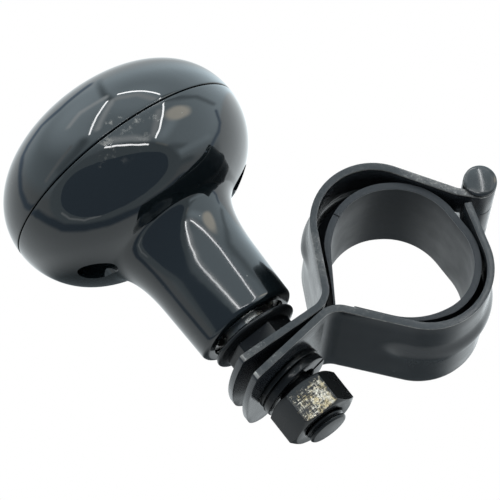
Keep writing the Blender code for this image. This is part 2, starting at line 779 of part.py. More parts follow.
def bowl_outline(slope):
    """The bowl's outer section from the flare to the seam, leaving the flare along slope."""
    pull = FLARE_TENSION * (SEAM_R - FLARE_R)
    after = (FLARE_R + pull * slope[0], FLARE_Z + pull * slope[1])
    return bezier((FLARE_R, FLARE_Z), after, (SEAM_R, SEAM_Z - SEAM_PULL), (SEAM_R, SEAM_Z - SEAM_GAP / 2), 7)


def within(outline, wall):
    """The points of a section moved in by a wall. The section runs outward and up."""
    moved_in = []
    for before, here, after in zip(outline, outline[1:], outline[2:]):
        along = Vector(after) - Vector(before)
        inward = Vector((-along.y, along.x)).normalized()
        moved_in.append(tuple(Vector(here) + inward * wall))
    return moved_in


def screw_places():
    """Number of each cap screw, and its place round the spindle."""
    for k in range(SCREWS):
        angle = SCREW_FIRST + 2 * math.pi * k / SCREWS
        yield k + 1, Vector((SCREW_PCR * math.cos(angle), SCREW_PCR * math.sin(angle), 0))


def bosses(cavity, radius, low, high, look):
    """Leave a round boss standing in a cavity at each screw."""
    for number, place in screw_places():
        post = moved(cylinder(radius, low, high, WELL_SEGMENTS), place)
        boolean(cavity, finish(f"post_{number}_{cavity.name}", post, look, SPINDLE))


def knob_body(look):
    """Neck and bowl in one moulding, with two bearing seats and two screw wells."""
    levels = spindle_levels()
    seat_r = BEARING_R + GAP
    waist_r = BEARING_R - WAIST_STEP
    lower_seat = levels["lower_bearing"] + BEARING_W + GAP
    upper_seat = levels["upper_bearing"] - GAP
    floor_z = levels["upper_bearing"] + BEARING_W + GAP
    rim = SEAM_Z - SEAM_GAP / 2
    inside_r = SEAM_R - KNOB_WALL
    boss_top = rim - LIP_H - GAP
    outside = [(0, NECK_END_Z)] + knob_outline() + [(0, rim)]
    body = finish("knob_body", turned(outside, KNOB_SEGMENTS), look, SPINDLE)
    seats = [(seat_r, NECK_END_Z - GAP), (seat_r, lower_seat), (waist_r, lower_seat),
             (waist_r, upper_seat), (seat_r, upper_seat), (seat_r, floor_z)]
    ledge = (seat_r + FLOOR_LEDGE, floor_z)
    bowl = within(knob_outline(), KNOB_WALL)
    bowl = [point for point in bowl if point[1] > floor_z + GAP and ledge[0] < point[0] < inside_r]
    inside = [(0, NECK_END_Z - GAP), *seats, ledge, *bowl, (inside_r, rim + GAP), (0, rim + GAP)]
    hollow = finish("hollow_knob_body", turned(inside, KNOB_SEGMENTS), look, SPINDLE)
    bosses(hollow, WELL_R + WELL_WALL, lower_seat, boss_top, look)
    boolean(body, hollow)
    deep = FLARE_Z - 2 * WELL_R
    hole_r = SCREW_R + GAP
    well = [(0, deep), (WELL_R, deep), (WELL_R, WELL_TOP_Z), (hole_r, WELL_TOP_Z), (hole_r, rim), (0, rim)]
    for number, place in screw_places():
        cut = moved(turned(well, WELL_SEGMENTS), place)
        boolean(body, finish(f"cut_knob_body_{number}", cut, look, SPINDLE))
    return body


def knob_cap(look):
    """Domed cap with a locating lip and two screw bosses."""
    rim = SEAM_Z + SEAM_GAP / 2
    top = rim + DOME_H
    inside_r = SEAM_R - KNOB_WALL
    lip_r = inside_r - GAP
    lip_low = rim - LIP_H
    shoulder = (SEAM_R, rim + DOME_TENSIONS[0] * DOME_H)
    dome = bezier((SEAM_R, rim), shoulder, (DOME_TENSIONS[1] * SEAM_R, top), (0, top), 8)
    outside = [(0, lip_low), (lip_r, lip_low), (lip_r, rim), (SEAM_R, rim)] + dome[:-1] + [(0, top)]
    cap = finish("knob_cap", turned(outside, KNOB_SEGMENTS), look, SPINDLE)
    ceiling = top - KNOB_WALL
    inner_lip = lip_r - LIP_T
    spring = (inner_lip, rim + VAULT_TENSIONS[0] * (ceiling - rim))
    vault = bezier((inner_lip, rim), spring, (VAULT_TENSIONS[1] * inner_lip, ceiling), (0, ceiling), 7)
    inside = [(0, lip_low - GAP), (inner_lip, lip_low - GAP), (inner_lip, rim)] + vault[:-1] + [(0, ceiling)]
    hollow = finish("hollow_knob_cap", turned(inside, KNOB_SEGMENTS), look, SPINDLE)
    bosses(hollow, BOSS_R, lip_low - 2 * GAP, top, look)
    boolean(cap, hollow)
    for number, place in screw_places():
        pilot = cylinder(SCREW_R + GAP, lip_low - GAP, WELL_TOP_Z + SCREW_L + GAP, WELL_SEGMENTS)
        boolean(cap, finish(f"cut_knob_cap_{number}", moved(pilot, place), look, SPINDLE))
    return cap


def cap_screws(look):
    """Screws that go up through the wells into the cap's bosses."""
    seat = WELL_TOP_Z - GAP
    low = seat - SCREW_HEAD_H
    tip = seat + SCREW_L
    cheese = (SCREW_HEAD_R, low + 0.45 * SCREW_HEAD_H)
    head = [(0, low), (0.7 * SCREW_HEAD_R, low), cheese, (SCREW_HEAD_R, seat)]
    section = head + [(SCREW_R, seat), (SCREW_R, tip - SCREW_POINT), (0, tip)]
    for number, place in screw_places():
        finish(f"cap_screw_{number}", moved(turned(section, SCREW_SEGMENTS), place), look, SPINDLE)


def build():
    clear_scene()
    plastic = material("knob plastic", (0.012, 0.016, 0.018), 0.12, 0.0)
    black_steel = material("blackened steel", (0.03, 0.034, 0.036), 0.35, 0.8)
    steel = material("bare steel", (0.55, 0.55, 0.53), 0.3, 1.0)
    brass = material("cage brass", (0.6, 0.45, 0.2), 0.35, 1.0)
    rubber = material("liner rubber", (0.02, 0.022, 0.025), 0.5, 0.0)
    knob_cap(plastic)
    knob_body(plastic)
    cap_screws(steel)
    spindle(steel, brass)
    flange_nut(black_steel)
    upper_strap(black_steel)
    lower_strap(black_steel)
    rim_liner(rubber)
    hinge_pin(black_steel)
    clamp_washers(black_steel)
    clamp_nut(black_steel)


build()
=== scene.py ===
"""Looks of the steering wheel spinner knob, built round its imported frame.

Lengths are in metres. The clamp's bore is at the origin, the spindle bolt runs up +Z at BOLT_X, and the
clamp's hinge lies toward +X.
"""

import math

import bmesh
import bpy
from mathutils import Matrix, Vector


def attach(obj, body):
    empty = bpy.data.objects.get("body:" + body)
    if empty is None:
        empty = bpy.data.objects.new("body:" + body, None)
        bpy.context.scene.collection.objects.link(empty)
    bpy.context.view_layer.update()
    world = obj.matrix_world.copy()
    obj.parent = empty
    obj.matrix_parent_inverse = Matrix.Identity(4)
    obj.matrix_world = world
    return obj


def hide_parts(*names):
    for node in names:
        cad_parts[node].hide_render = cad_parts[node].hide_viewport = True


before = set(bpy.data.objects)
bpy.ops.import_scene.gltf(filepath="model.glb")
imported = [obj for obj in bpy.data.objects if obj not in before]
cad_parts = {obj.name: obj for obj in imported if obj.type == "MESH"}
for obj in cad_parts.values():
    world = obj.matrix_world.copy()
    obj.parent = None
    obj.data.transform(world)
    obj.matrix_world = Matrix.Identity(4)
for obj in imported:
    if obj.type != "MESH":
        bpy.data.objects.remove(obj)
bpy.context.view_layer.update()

MM = 0.001
GAP = 0.3 * MM

# Spindle line
BOLT_X = -35.0 * MM
SPINDLE = Vector((BOLT_X, 0, 0))
BOLT_R = 5.0 * MM
BOLT_END_Z = -20.3 * MM
# The two turned rings at the bolt's end: radius and height above the end, in mm
BOLT_RINGS = ((4.6, 0), (5.0, 0.4), (5.0, 0.8), (4.35, 1.2), (5.0, 1.6), (5.0, 2.0), (4.25, 2.5))
THREAD_PITCH = 1.5 * MM
THREAD_DEPTH = 0.75 * MM
THREAD_TURNS = 18
THREAD_START = 2.2
THREAD_SINK = 0.04 * MM
COUNTERSINK = 0.35 * MM
BORE_R = BOLT_R + 0.05 * MM
HEAD_AF = 17.0 * MM
HEAD_H = 6.4 * MM

# Steel straps
STRAP_T = 1.65 * MM
HALF_W = 17.0 * MM
HINGE = Vector((25.87 * MM, 3.72 * MM))
PIN_R = 2.05 * MM
CURL_R = PIN_R + GAP
BARREL_R = CURL_R + STRAP_T
CURL_TURN = math.radians(290)
TAB_HALF = 6.2 * MM
UPPER_EAR_TOP = 1.68 * MM
UPPER_ARC = Vector((-0.3 * MM, 10.0 * MM))
UPPER_ARC_R = 15.0 * MM
UPPER_FLANK = math.radians(63.4)
UPPER_FALL = math.radians(-56.3)
UPPER_CUT_BACK = 4.6 * MM
LOWER_EAR_TILT = math.radians(8.4)
LOWER_EAR_Z = -3.6 * MM
LOWER_ARC = Vector((3.0 * MM, -6.0 * MM))
LOWER_ARC_R = 15.5 * MM
LOWER_FLANK = math.radians(-49.4)
LOWER_RISE = math.radians(74)
EAR_BEND_R = 5.0 * MM
KINK_R = 4.0 * MM
UPPER_KINK_RISE = 2.0 * MM
LOWER_KINK_DROP = 3.0 * MM
EAR_REACH = 12.4 * MM
EAR_SAGITTA = 2.4 * MM
EAR_CORNER_R = 1.5 * MM
EAR_FRONT_PROUD = 0.9 * MM
EAR_FAR_RUN = 5.6 * MM
EAR_FAR_PULLS = (0.7 * MM, 3.2 * MM, 3.6 * MM)
EAR_SLOT_OUT = 1.1 * MM
EAR_SLOT_IN = 0.2 * MM
SHEET_EDGE = 0.22 * MM
PIN_RIM_H = 0.35 * MM
PIN_DOME_H = 0.75 * MM
PEEN_H = 0.9 * MM
BEAD_H = 1.15 * MM
BEAD_HALF = 6.2 * MM
UPPER_BEAD_START = 33.2 * MM
LOWER_BEAD_START = 32.0 * MM
BEAD_HINGE_MARGIN = 5.0 * MM

# Rubber liner
LINER_HALF = 15.3 * MM
LINER_T = 1.65 * MM
LINER_TIP_T = 0.45 * MM
LINER_UPPER_TAPER = 15.0 * MM
LINER_LOWER_TAPER = 23.0 * MM
RIB_HALF = 4.9 * MM
RIB_TOP = 3.2 * MM
RIB_SIDE = 1.5 * MM
RIB_RUN_IN = 3.0 * MM
RIB_CREST = math.radians(95)
LINER_TAILS = (8.3 * MM, 2.5 * MM)
LINER_RUNS = (((-15.0, 6.51), 57.5), ((-6.1, 16.0), 25), ((6.3, 16.15), -31), ((15.35, 0), -90),
              ((9.0, -14.8), -150), ((-1.0, -16.1), -190), ((-14.58, -5.35), -230.2))
LINER_BENDS = (18, 13.9, 15.2, 13.3, 12, 17.5)

# Washers and nuts
WASHER_R = 9.0 * MM
WASHER_T = 1.2 * MM
WASHER_BORE = BOLT_R + 0.5 * MM
SPRING_R = 9.05 * MM
SPRING_T = 1.9 * MM
SPRING_GAP = math.radians(8)
SPRING_SPLIT = math.radians(-14)
SPRING_LIFT = 0.15 * MM
NUT_AF = 16.0 * MM
NUT_H = 9.0 * MM
NUT_TURN = math.radians(-5.5)
NUT_EDGE = 0.3 * MM
NUT_TOP_Z = -9.05 * MM
FLANGE_AF = 15.0 * MM
FLANGE_R = 10.9 * MM
FLANGE_T = 2.3 * MM
FLANGE_NUT_H = 7.5 * MM
FLANGE_TURN = math.radians(-15)

# Bearings and knob
BEARING_R = 9.5 * MM
BEARING_W = 5.0 * MM
BEARING_SPAN = 24.3 * MM
LOWER_SPACER_H = 2.2 * MM
HEAD_WASHER_T = 2.0 * MM
SEAM_Z = 59.22 * MM
SEAM_R = 31.4 * MM
DOME_H = 21.45 * MM
KNOB_WALL = 2.7 * MM
NECK_R = 12.68 * MM
NECK_TOP_R = 13.12 * MM
NECK_TOP_Z = 26.4 * MM
NECK_END_Z = 10.95 * MM
NECK_EDGE_R = 1.4 * MM
FLARE_R = 18.14 * MM
FLARE_Z = 41.03 * MM
FLARE_ANGLE = math.radians(70)
NECK_PULL = 7.85 * MM
NECK_FLARE_PULL = 3.11 * MM
SEAM_PULL = 7.82 * MM
FLARE_TENSION = 0.67
DOME_TENSIONS = (0.628, 0.576)
VAULT_TENSIONS = (0.64, 0.603)
FLOOR_LEDGE = 2.5 * MM
LIP_H = 2.0 * MM
LIP_T = 1.2 * MM
SCREW_PCR = (NECK_R + SEAM_R - KNOB_WALL) / 2
SCREW_FIRST = math.radians(-175)
SCREWS = 2
WELL_R = 4.1 * MM
WELL_WALL = 1.8 * MM
WELL_TOP_Z = 52.0 * MM
SCREW_HEAD_R = 3.4 * MM
SCREW_HEAD_H = 2.4 * MM
SCREW_R = 1.5 * MM
SCREW_L = 12.5 * MM
SCREW_POINT = 1 * MM
SCREW_DOME_H = 1.3 * MM
CROSS = (2.0 * MM, 0.4 * MM, 1.4 * MM)
RIM_EDGE = 0.25 * MM
MOULDED_EDGE = 0.22 * MM
BOSS_R = 4.2 * MM
RUBBED_AT = (-39 * MM, -31 * MM, 54.5 * MM)

KNOB_SEGMENTS = 160
ROUND_SEGMENTS = 96
SPINDLE_RADIUS = 0.5 * MM
ARC_STEP = math.radians(2.5)
CURL_STEP = math.radians(6)

# Camera, from the photograph's viewing angle
CAMERA_AT = Vector((-298.79, -976.07, -267.28)) * MM
CAMERA_RIGHT = Vector((0.800, -0.046, -0.598))
CAMERA_FORWARD = Vector((0.261, 0.924, 0.278))
CAMERA_LENS = 323.9

# What the studio round the part looks like in the gloss, in degrees away from the camera: first number to
# the picture's right, second up. A patch has a centre and two radii, and its softness is a share of them. A
# line has its points and its half width. Then come its light level and tint.
TINTS = {"sheet": (0.93, 1.0, 1.03), "wall": (0.84, 1.0, 1.09), "shade": (0.76, 1.0, 1.3),
         "warm": (1.04, 1.0, 0.88)}
STUDIO = (
    ("patch", (-10, -92), (150, 30), 0.6, 1.1, "sheet"),
    ("patch", (0, -165), (140, 48), 0.4, 0.12, "wall"),
    ("patch", (0, 45), (120, 82), 0.1, 1.25, "wall"),
    ("patch", (35, 100), (98, 40), 0.4, 2.0, "wall"),
    ("patch", (72, 36), (44, 48), 0.45, 2.1, "wall"),
    ("patch", (-48, 60), (36, 34), 0.5, 2.7, "wall"),
    ("patch", (165, 25), (60, 110), 0.06, 1.55, "sheet"),
    ("patch", (3, 52), (38, 36), 0.25, 2.0, "wall"),
    ("patch", (3, 72), (32, 18), 0.6, 2.7, "wall"),
    ("line", ((-62, 125), (-38, 92), (-22, 77)), 3.5, 3.5, 1.0, "wall"),
    ("line", ((36, 66), (52, 68), (72, 69), (95, 58)), 3.5, 3.5, 1.15, "wall"),
    ("line", ((-33, 85), (-47, 78), (-57, 73), (-64, 58)), 1.5, 4.5, 3.8, "sheet"),
    ("line", ((-39, 28), (-45, 16), (-56, 4)), 6.0, 5.0, 0.85, "wall"),
    ("line", ((-52, 27), (-65, 8), (-74, -5)), 1.0, 3.0, 1.6, "sheet"),
    ("line", ((-22, 76), (-27, 42)), 2.0, 4.5, 4.0, "sheet"),
    ("line", ((-18, 79), (5, 78), (26, 67)), 1.5, 4.0, 3.4, "sheet"),
    ("line", ((-10, 24), (15, 20), (28, 14)), 2.0, 4.5, 3.6, "sheet"),
    ("line", ((33, 50), (34, 20)), 2.0, 4.5, 3.2, "sheet"),
    ("line", ((52, 40), (44, 18)), 5.0, 7.0, 3.0, "wall"),
    ("patch", (54, 45), (13, 10), 0.35, 4.8, "warm"),
    ("line", ((39, 7), (50, 2)), 1.0, 2.0, 3.6, "warm"),
    ("line", ((54, 0), (68, -4)), 4.0, 4.0, 1.2, "wall"),
    ("line", ((60, -13), (78, -4), (92, 5)), 3.0, 5.0, 2.3, "wall"),
    ("line", ((46, -12), (62, -28), (78, -22)), 4.0, 4.0, 0.8, "wall"),
    ("line", ((-72, 122), (-94, 97), (-112, 85), (-122, 65), (-126, 50), (-121, 19), (-113, -6), (-100, -28),
              (-82, -41)), 4.0, 3.0, 0.45, "shade"),
    ("patch", (2, -28), (68, 44), 0.05, 0.85, "wall"),
    ("line", ((-82, -41), (-66, -52), (-42, -66), (-14, -72), (16, -73), (43, -69), (62, -59), (76, -44)),
     4.5, 2.5, 0.36, "shade"),
    ("line", ((76, -44), (90, -26), (99, -8), (105, 12), (106, 26), (100, 46)), 2.0, 2.0, 0.8, "shade"),
    ("line", ((-46, -48), (-35, -57), (-16, -63), (2, -62)), 0.6, 1.2, 1.9, "sheet"),
    ("patch", (-41, -25), (1.8, 1.8), 0.3, 9.0, "sheet"),
)
# Four bare lamp bars in a square above the camera, by their ends from the middle of the knob.
BARS = (((-45, 201, 33), (78, 190, 59)), ((-66, 192, 46), (-105, 113, 150)),
        ((96, 174, 81), (119, 52, 174)), ((-49, 59, 204), (104, 31, 189)))
BAR_WIDTH = 6.0 * MM
BAR_LEVEL = 20.0
# The tent's dark opening for the camera: a near card, so that the neck and the bowl see it from their places.
OPENING_TILT = math.radians(-28)
OPENING_AWAY = 140 * MM
OPENING_CENTRE = (15 * MM, 5 * MM)
OPENING_RADII = (160 * MM, 76 * MM)
OPENING_SQUARENESS = 2.5
OPENING_LEVEL = 0.4
WHITE = (1, 1, 1, 1)
SOFT_LEVEL = 0.7
SOFT_LIGHTS = (((-0.5, -0.9, 0.9), 0.7, 12), ((0.9, -0.6, 0.3), 0.6, 4))
SOFT_LIGHTS_AT = (0, 0, 0.02)
FLOOR_HALF = 5.0
FLOOR_Z = -0.62


# Node trees and materials

def sum_on(operation, swapped=False):
    """A way to write one kind of sum on values."""
    def write(one, two=0.0):
        pair = (two, one) if swapped else (one, two)
        return one.net.value("ShaderNodeMath", dict(enumerate(pair)), operation=operation)
    return write


class Value:
    """An output in a node tree. Sums written with it become nodes."""

    def __init__(self, net, socket):
        self.net, self.socket = net, socket

    __add__ = sum_on("ADD")
    __sub__ = sum_on("SUBTRACT")
    __rsub__ = sum_on("SUBTRACT", True)
    __mul__ = sum_on("MULTIPLY")
    __abs__ = sum_on("ABSOLUTE")
    most = sum_on("MAXIMUM")
    least = sum_on("MINIMUM")
    below = sum_on("LESS_THAN")
    arccosine = sum_on("ARCCOSINE")
    degrees = sum_on("DEGREES")

    def spread(self, low, high, to_low=0.0, to_high=1.0):
        """Mapped smoothly from one range to another."""
        inputs = {"Value": self, "From Min": low, "From Max": high, "To Min": to_low, "To Max": to_high}
        return self.net.value("ShaderNodeMapRange", inputs, "Result", interpolation_type="SMOOTHSTEP")


class Net:
    """A node tree that is being drawn."""

    def __init__(self, tree):
        self.tree = tree

    def node(self, kind, inputs=None, **settings):
        """Add a node, with its settings and its inputs by name or number."""
        node = self.tree.nodes.new(kind)
        for key, setting in settings.items():
            setattr(node, key, setting)
        for key, given in (inputs or {}).items():
            if isinstance(given, Value):
                self.tree.links.new(given.socket, node.inputs[key])
            else:
                node.inputs[key].default_value = given
        return node

    def value(self, kind, inputs=None, output=0, **settings):
        """Add a node and take one of its outputs."""
        return Value(self, self.node(kind, inputs, **settings).outputs[output])

    def vector(self, operation, *vectors, **more):
        """A sum on vectors. Lengths, distances and products of directions come out as a number."""
        output = "Value" if operation in ("DISTANCE", "DOT_PRODUCT", "LENGTH") else 0
        return self.value("ShaderNodeVectorMath", dict(enumerate(vectors)) | more, output, operation=operation)

    def blend(self, share, one, two):
        """From one colour to another by a share."""
        ends = [end if isinstance(end, Value) else (*end, 1) for end in (one, two)]
        return self.value("ShaderNodeMix", {0: share, 6: ends[0], 7: ends[1]}, 2, data_type="RGBA")


class Look(Net):
    """A material that is being drawn, on the object's own coordinates."""

    def __init__(self, name):
        self.material = bpy.data.materials.new(name)
        self.material.use_nodes = True
        super().__init__(self.material.node_tree)
        self.tree.nodes.clear()
        self.where = self.value("ShaderNodeTexCoord", output="Object")

    def part(self, axis):
        return self.value("ShaderNodeSeparateXYZ", {"Vector": self.where}, axis)

    def noise(self, scale, detail=2.0, roughness=0.5, stretch=None):
        """Noise, stretched along an axis where asked."""
        where = self.where
        if stretch:
            where = self.value("ShaderNodeMapping", {"Vector": where, "Scale": stretch})
        inputs = {"Vector": where, "Scale": scale, "Detail": detail, "Roughness": roughness}
        return self.value("ShaderNodeTexNoise", inputs, "Fac")

    def specks(self, scale, radius, share):
        """Small round specks: 1 on a speck, in a given share of the cells."""
        cells = self.node("ShaderNodeTexVoronoi", {"Vector": self.where, "Scale": scale}).outputs
        near = Value(self, cells["Distance"]).spread(radius, radius * 0.5)
        pick = self.value("ShaderNodeSeparateColor", {"Color": Value(self, cells["Color"])})
        return near * pick.below(share)

    def end(self, surface):
        self.node("ShaderNodeOutputMaterial", {"Surface": surface}, is_active_output=True)
        return self.material

    def close(self, colour, rough, heights, more):
        """End in a Principled shader, with bumps from (height, strength, distance) in order."""
        inputs = {"Base Color": colour, "Roughness": rough, **more}
        for height, strength, distance in heights:
            bump = {"Height": height, "Strength": strength, "Distance": distance}
            if "Normal" in inputs:
                bump["Normal"] = inputs["Normal"]
            inputs["Normal"] = self.value("ShaderNodeBump", bump)
        return self.end(self.value("ShaderNodeBsdfPrincipled", inputs))


def knob_plastic_look():
    """High-gloss black moulding with dust specks, hairlines and powdery scuffs along the parting line."""
    look = Look("knob gloss plastic")
    height = look.part("Z")
    near_seam = abs(height - SEAM_Z).spread(9 * MM, 0.5 * MM)
    from_rub = look.vector("DISTANCE", look.where, RUBBED_AT)
    patchy = look.noise(240, 3) + from_rub.spread(13 * MM, 3 * MM, -0.12, 0.12)
    powder = look.noise(420, 6, 0.72).spread(0.5, 0.66) * patchy.spread(0.56, 0.66)
    dust = look.specks(210, 0.035, 0.5).most(look.specks(95, 0.022, 0.6))
    hairs = look.noise(60, 3, 0.6, (1, 14, 3)).spread(0.7, 0.78)
    smudges = look.noise(38, 4, 0.6)
    dirt = (powder * near_seam * 0.34).most(dust * 0.45)
    tint = look.blend(smudges, (0.002, 0.0036, 0.0046), (0.0038, 0.0058, 0.0068))
    colour = look.blend(dirt, tint, (0.33, 0.33, 0.31))
    gloss = smudges.spread(0.35, 0.7, 0.02, 0.055) + hairs * 0.05
    gloss = gloss + height.spread(FLARE_Z + 4 * MM, NECK_TOP_Z, 0, 0.07)
    heights = [(look.noise(55, 1), 0.05, 1.0 * MM), (look.noise(130), 0.1, 0.5 * MM), (dirt, 0.25, 0.05 * MM)]
    return look.close(colour, gloss + dirt * 0.5, heights, {"IOR": 1.5})


def black_coat_look(name, rub, smooth, rough, shine):
    """Blackened steel in a satin coat. rub is how much of it is rubbed to metal in small specks."""
    look = Look(name)
    mottle = look.noise(120, 5, 0.6)
    rubbed = look.noise(1500, 4, 0.7).spread(0.66, 0.74) * rub
    bare = rubbed.most(look.specks(420, 0.05, 0.15) * 0.5).least(1.0)
    coat = look.blend(mottle, (0.0038, 0.0045, 0.0052), (0.009, 0.0105, 0.0115))
    colour = look.blend(bare, coat, (0.36, 0.36, 0.34))
    heights = [(look.noise(2600, 2, 0.6), 0.04, 0.03 * MM), (mottle, 0.08, 0.3 * MM)]
    return look.close(colour, mottle.spread(0.3, 0.7, smooth, rough), heights,
                      {"Metallic": bare * 0.8, "Specular IOR Level": shine})


def strap_look():
    """Satin black sheet steel: faint rolling marks and edges rubbed to bright specks. Along the edges the coat is
    lightened as painted highlight, and the rounded corners carry a bright metal band that is partly rub wear and
    partly painted highlight.
    """
    look = Look("strap satin black")
    across = abs(look.part("Y"))
    edge = across.spread(HALF_W - 0.55 * MM, HALF_W - 0.05 * MM)
    chips = look.noise(1300, 5, 0.75).spread(0.52, 0.62)
    corner_highlight_and_wear_band = across.spread(HALF_W - 0.5 * MM, HALF_W - 0.3 * MM)
    cut_face = across.spread(HALF_W - 0.08 * MM, HALF_W - 0.02 * MM)
    kept_coat = look.noise(45).spread(0.45, 0.6, 0.97, 0.78)
    # Partly rub wear, partly painted highlight: a bright metal band along the rounded corners that never fades out
    # fully.
    corner = corner_highlight_and_wear_band * (1.0 - cut_face * kept_coat)
    rubbed = corner * look.noise(300, 3).spread(0.35, 0.65, 0.15, 0.5)
    bare = (rubbed + chips * corner * 0.9).most(look.specks(230, 0.03, 0.12) * 0.5)
    mottle = look.noise(90, 5, 0.62)
    rolling = look.noise(400, 3, 0.6, (1, 0.06, 1))
    coat = look.blend(mottle, (0.0085, 0.0108, 0.0135), (0.0145, 0.0178, 0.021))
    # Painted highlight: the coat is lightened towards the cut edges.
    coat = look.blend(edge * 0.5, coat, (0.017, 0.02, 0.022))
    colour = look.blend(bare, coat, (0.42, 0.42, 0.4))
    gloss = mottle.spread(0.3, 0.7, 0.17, 0.25) + rolling * 0.05
    heights = [(look.noise(2200, 2, 0.6), 0.03, 0.03 * MM), (rolling, 0.06, 0.1 * MM), (mottle, 0.06, 0.3 * MM)]
    return look.close(colour, gloss, heights, {"Metallic": bare * 0.75, "Specular IOR Level": 0.27})


def liner_look():
    """Smooth dark rubber with a faint bloom and fine flow marks, and a painted highlight: a pale line along each
    rounded corner.
    """
    look = Look("liner rubber")
    bloom = look.noise(60, 5, 0.65)
    flow = look.noise(260, 3, 0.6, (1, 0.12, 1))
    across = abs(look.part("Y"))
    # Painted highlight: a thin pale line on the rounded corners.
    corner = across.spread(LINER_HALF - 0.4 * MM, LINER_HALF - 0.2 * MM)
    corner = corner * across.spread(LINER_HALF - 0.02 * MM, LINER_HALF - 0.07 * MM)
    tint = look.blend(bloom, (0.0075, 0.0092, 0.0115), (0.0135, 0.016, 0.0185))
    tint = look.blend(corner * 0.7, tint, (0.14, 0.15, 0.155))
    colour = look.blend(look.specks(260, 0.04, 0.25) * 0.3, tint, (0.2, 0.2, 0.19))
    rough = bloom.spread(0.3, 0.7, 0.36, 0.48) + flow * 0.06
    heights = [(look.noise(1800, 2, 0.6), 0.14, 0.03 * MM), (flow, 0.1, 0.15 * MM)]
    return look.close(colour, rough, heights, {"Specular IOR Level": 0.22})


def worn_nut_look():
    """Black nut whose front flat is rubbed through its coat to flaky bare metal."""
    look = Look("nut with a worn flat")
    out = Vector((math.sin(NUT_TURN), -math.cos(NUT_TURN), 0))
    along = Vector((math.cos(NUT_TURN), math.sin(NUT_TURN), 0))
    flat_at = NUT_AF / 2 + out.dot(SPINDLE)
    depth = look.vector("DOT_PRODUCT", look.where, out)
    side = look.vector("DOT_PRODUCT", look.where, along) - along.dot(SPINDLE)
    height = look.part("Z") - (NUT_TOP_Z - NUT_H / 2 - 0.65 * MM)
    ragged = (look.noise(900, 4, 0.7) - 0.5) * (3 * MM)
    inside = (abs(side) + ragged).spread(4.45 * MM, 4.0 * MM)
    inside = inside * (abs(height) + ragged).spread(3.75 * MM, 3.3 * MM)
    inside = inside * depth.spread(flat_at - 0.25 * MM, flat_at - 0.08 * MM)
    lean = side * 10.0 + height * -8.0
    scores = look.noise(460, 4, 0.75, (1, 1, 7)) + look.noise(460, 4, 0.75, (7, 7, 1))
    flakes = look.noise(1150, 7, 0.78, (1, 1, 1.5)) * 0.4 + scores * 0.32
    pits = look.noise(3000, 3, 0.7).spread(0.62, 0.55)
    bare = (flakes + lean).spread(0.48, 0.55) * inside * pits.most(0.25)
    gold = look.noise(520, 4, 0.6).spread(0.42, 0.62)
    metal = look.blend(gold, (0.46, 0.42, 0.35), (0.36, 0.29, 0.17))
    mottle = look.noise(120, 5, 0.6)
    coat = look.blend(mottle, (0.0038, 0.0044, 0.0048), (0.0085, 0.0095, 0.01))
    colour = look.blend(look.specks(420, 0.05, 0.15) * 0.5, look.blend(bare, coat, metal), (0.36, 0.36, 0.34))
    rough = mottle.spread(0.3, 0.7, 0.24, 0.36) + bare * 0.12
    heights = [(look.noise(2600, 2, 0.6), 0.12, 0.03 * MM), (bare, 0.6, -0.06 * MM),
               (flakes, bare * 0.5, 0.15 * MM)]
    return look.close(colour, rough, heights, {"Metallic": bare * 0.95, "Specular IOR Level": 0.28})


def machined_look(name, dark, light, smooth):
    """Turned bare metal with fine tool marks and a film of oil."""
    look = Look(name)
    film = look.noise(160, 4, 0.6)
    marks = look.noise(500, 3, 0.6, (1, 1, 9))
    rough = film.spread(0.3, 0.7, smooth, smooth + 0.14) + marks * 0.08
    return look.close(look.blend(film, dark, light), rough, [(marks, 0.15, 0.04 * MM)], {"Metallic": 1.0})


PLASTIC = knob_plastic_look()
COAT = black_coat_look("bolt black coat", 0.4, 0.16, 0.28, 0.15)
DEEP_COAT = black_coat_look("flange nut deep black coat", 0.3, 0.1, 0.2, 0.16)
PIN_COAT = black_coat_look("pin gloss black coat", 0.2, 0.1, 0.18, 0.45)
STRAP = strap_look()
RUBBER = liner_look()
WORN = worn_nut_look()
STEEL = machined_look("machined steel", (0.42, 0.42, 0.41), (0.62, 0.62, 0.6), 0.2)
BALL_STEEL = machined_look("ball steel", (0.55, 0.55, 0.54), (0.68, 0.68, 0.67), 0.06)
# Painted shade: the cage brass is darkened to near black for the shade in the gap between the neck and the flange
# nut.
BRASS = machined_look("oily cage brass", (0.05, 0.04, 0.024), (0.1, 0.08, 0.045), 0.3)


# Turning and threads, as node trees

class Group(Net):
    """A geometry node tree with named inputs. It ends in Realize Instances and Set Material."""

    def __init__(self, name, **inputs):
        super().__init__(bpy.data.node_groups.new(name, "GeometryNodeTree"))
        new = self.tree.interface.new_socket
        self.sockets = {label: new(label, in_out="INPUT", socket_type="NodeSocket" + kind).identifier
                        for label, kind in inputs.items()}
        new("Result", in_out="OUTPUT", socket_type="NodeSocketGeometry")
        given = self.node("NodeGroupInput").outputs
        self.given = [Value(self, given[label]) for label in inputs]

    def close(self, geometry, finish):
        solid = self.value("GeometryNodeRealizeInstances", {0: geometry})
        finished = self.value("GeometryNodeSetMaterial", {"Geometry": solid, "Material": finish})
        self.node("NodeGroupOutput", {0: finished})
        return self


def lathe_group():
    """Turns a section, drawn as edges of (radius, -height), round the Z axis."""
    group = Group("lathe", section="Geometry", segments="Int", spindle_radius="Float", finish="Material")
    drawn_section, segments, radius, finish = group.given
    section = group.value("GeometryNodeMeshToCurve", {0: drawn_section})
    circle = group.value("GeometryNodeCurvePrimitiveCircle", {"Resolution": segments, "Radius": radius})
    upright = group.value("GeometryNodeSetCurveNormal", {0: circle}, mode="Z_UP")
    skin = group.value("GeometryNodeCurveToMesh", {"Curve": upright, "Profile Curve": section})
    merged = group.value("GeometryNodeMergeByDistance", {"Geometry": skin, "Distance": 0.002 * MM})
    return group.close(merged, finish)


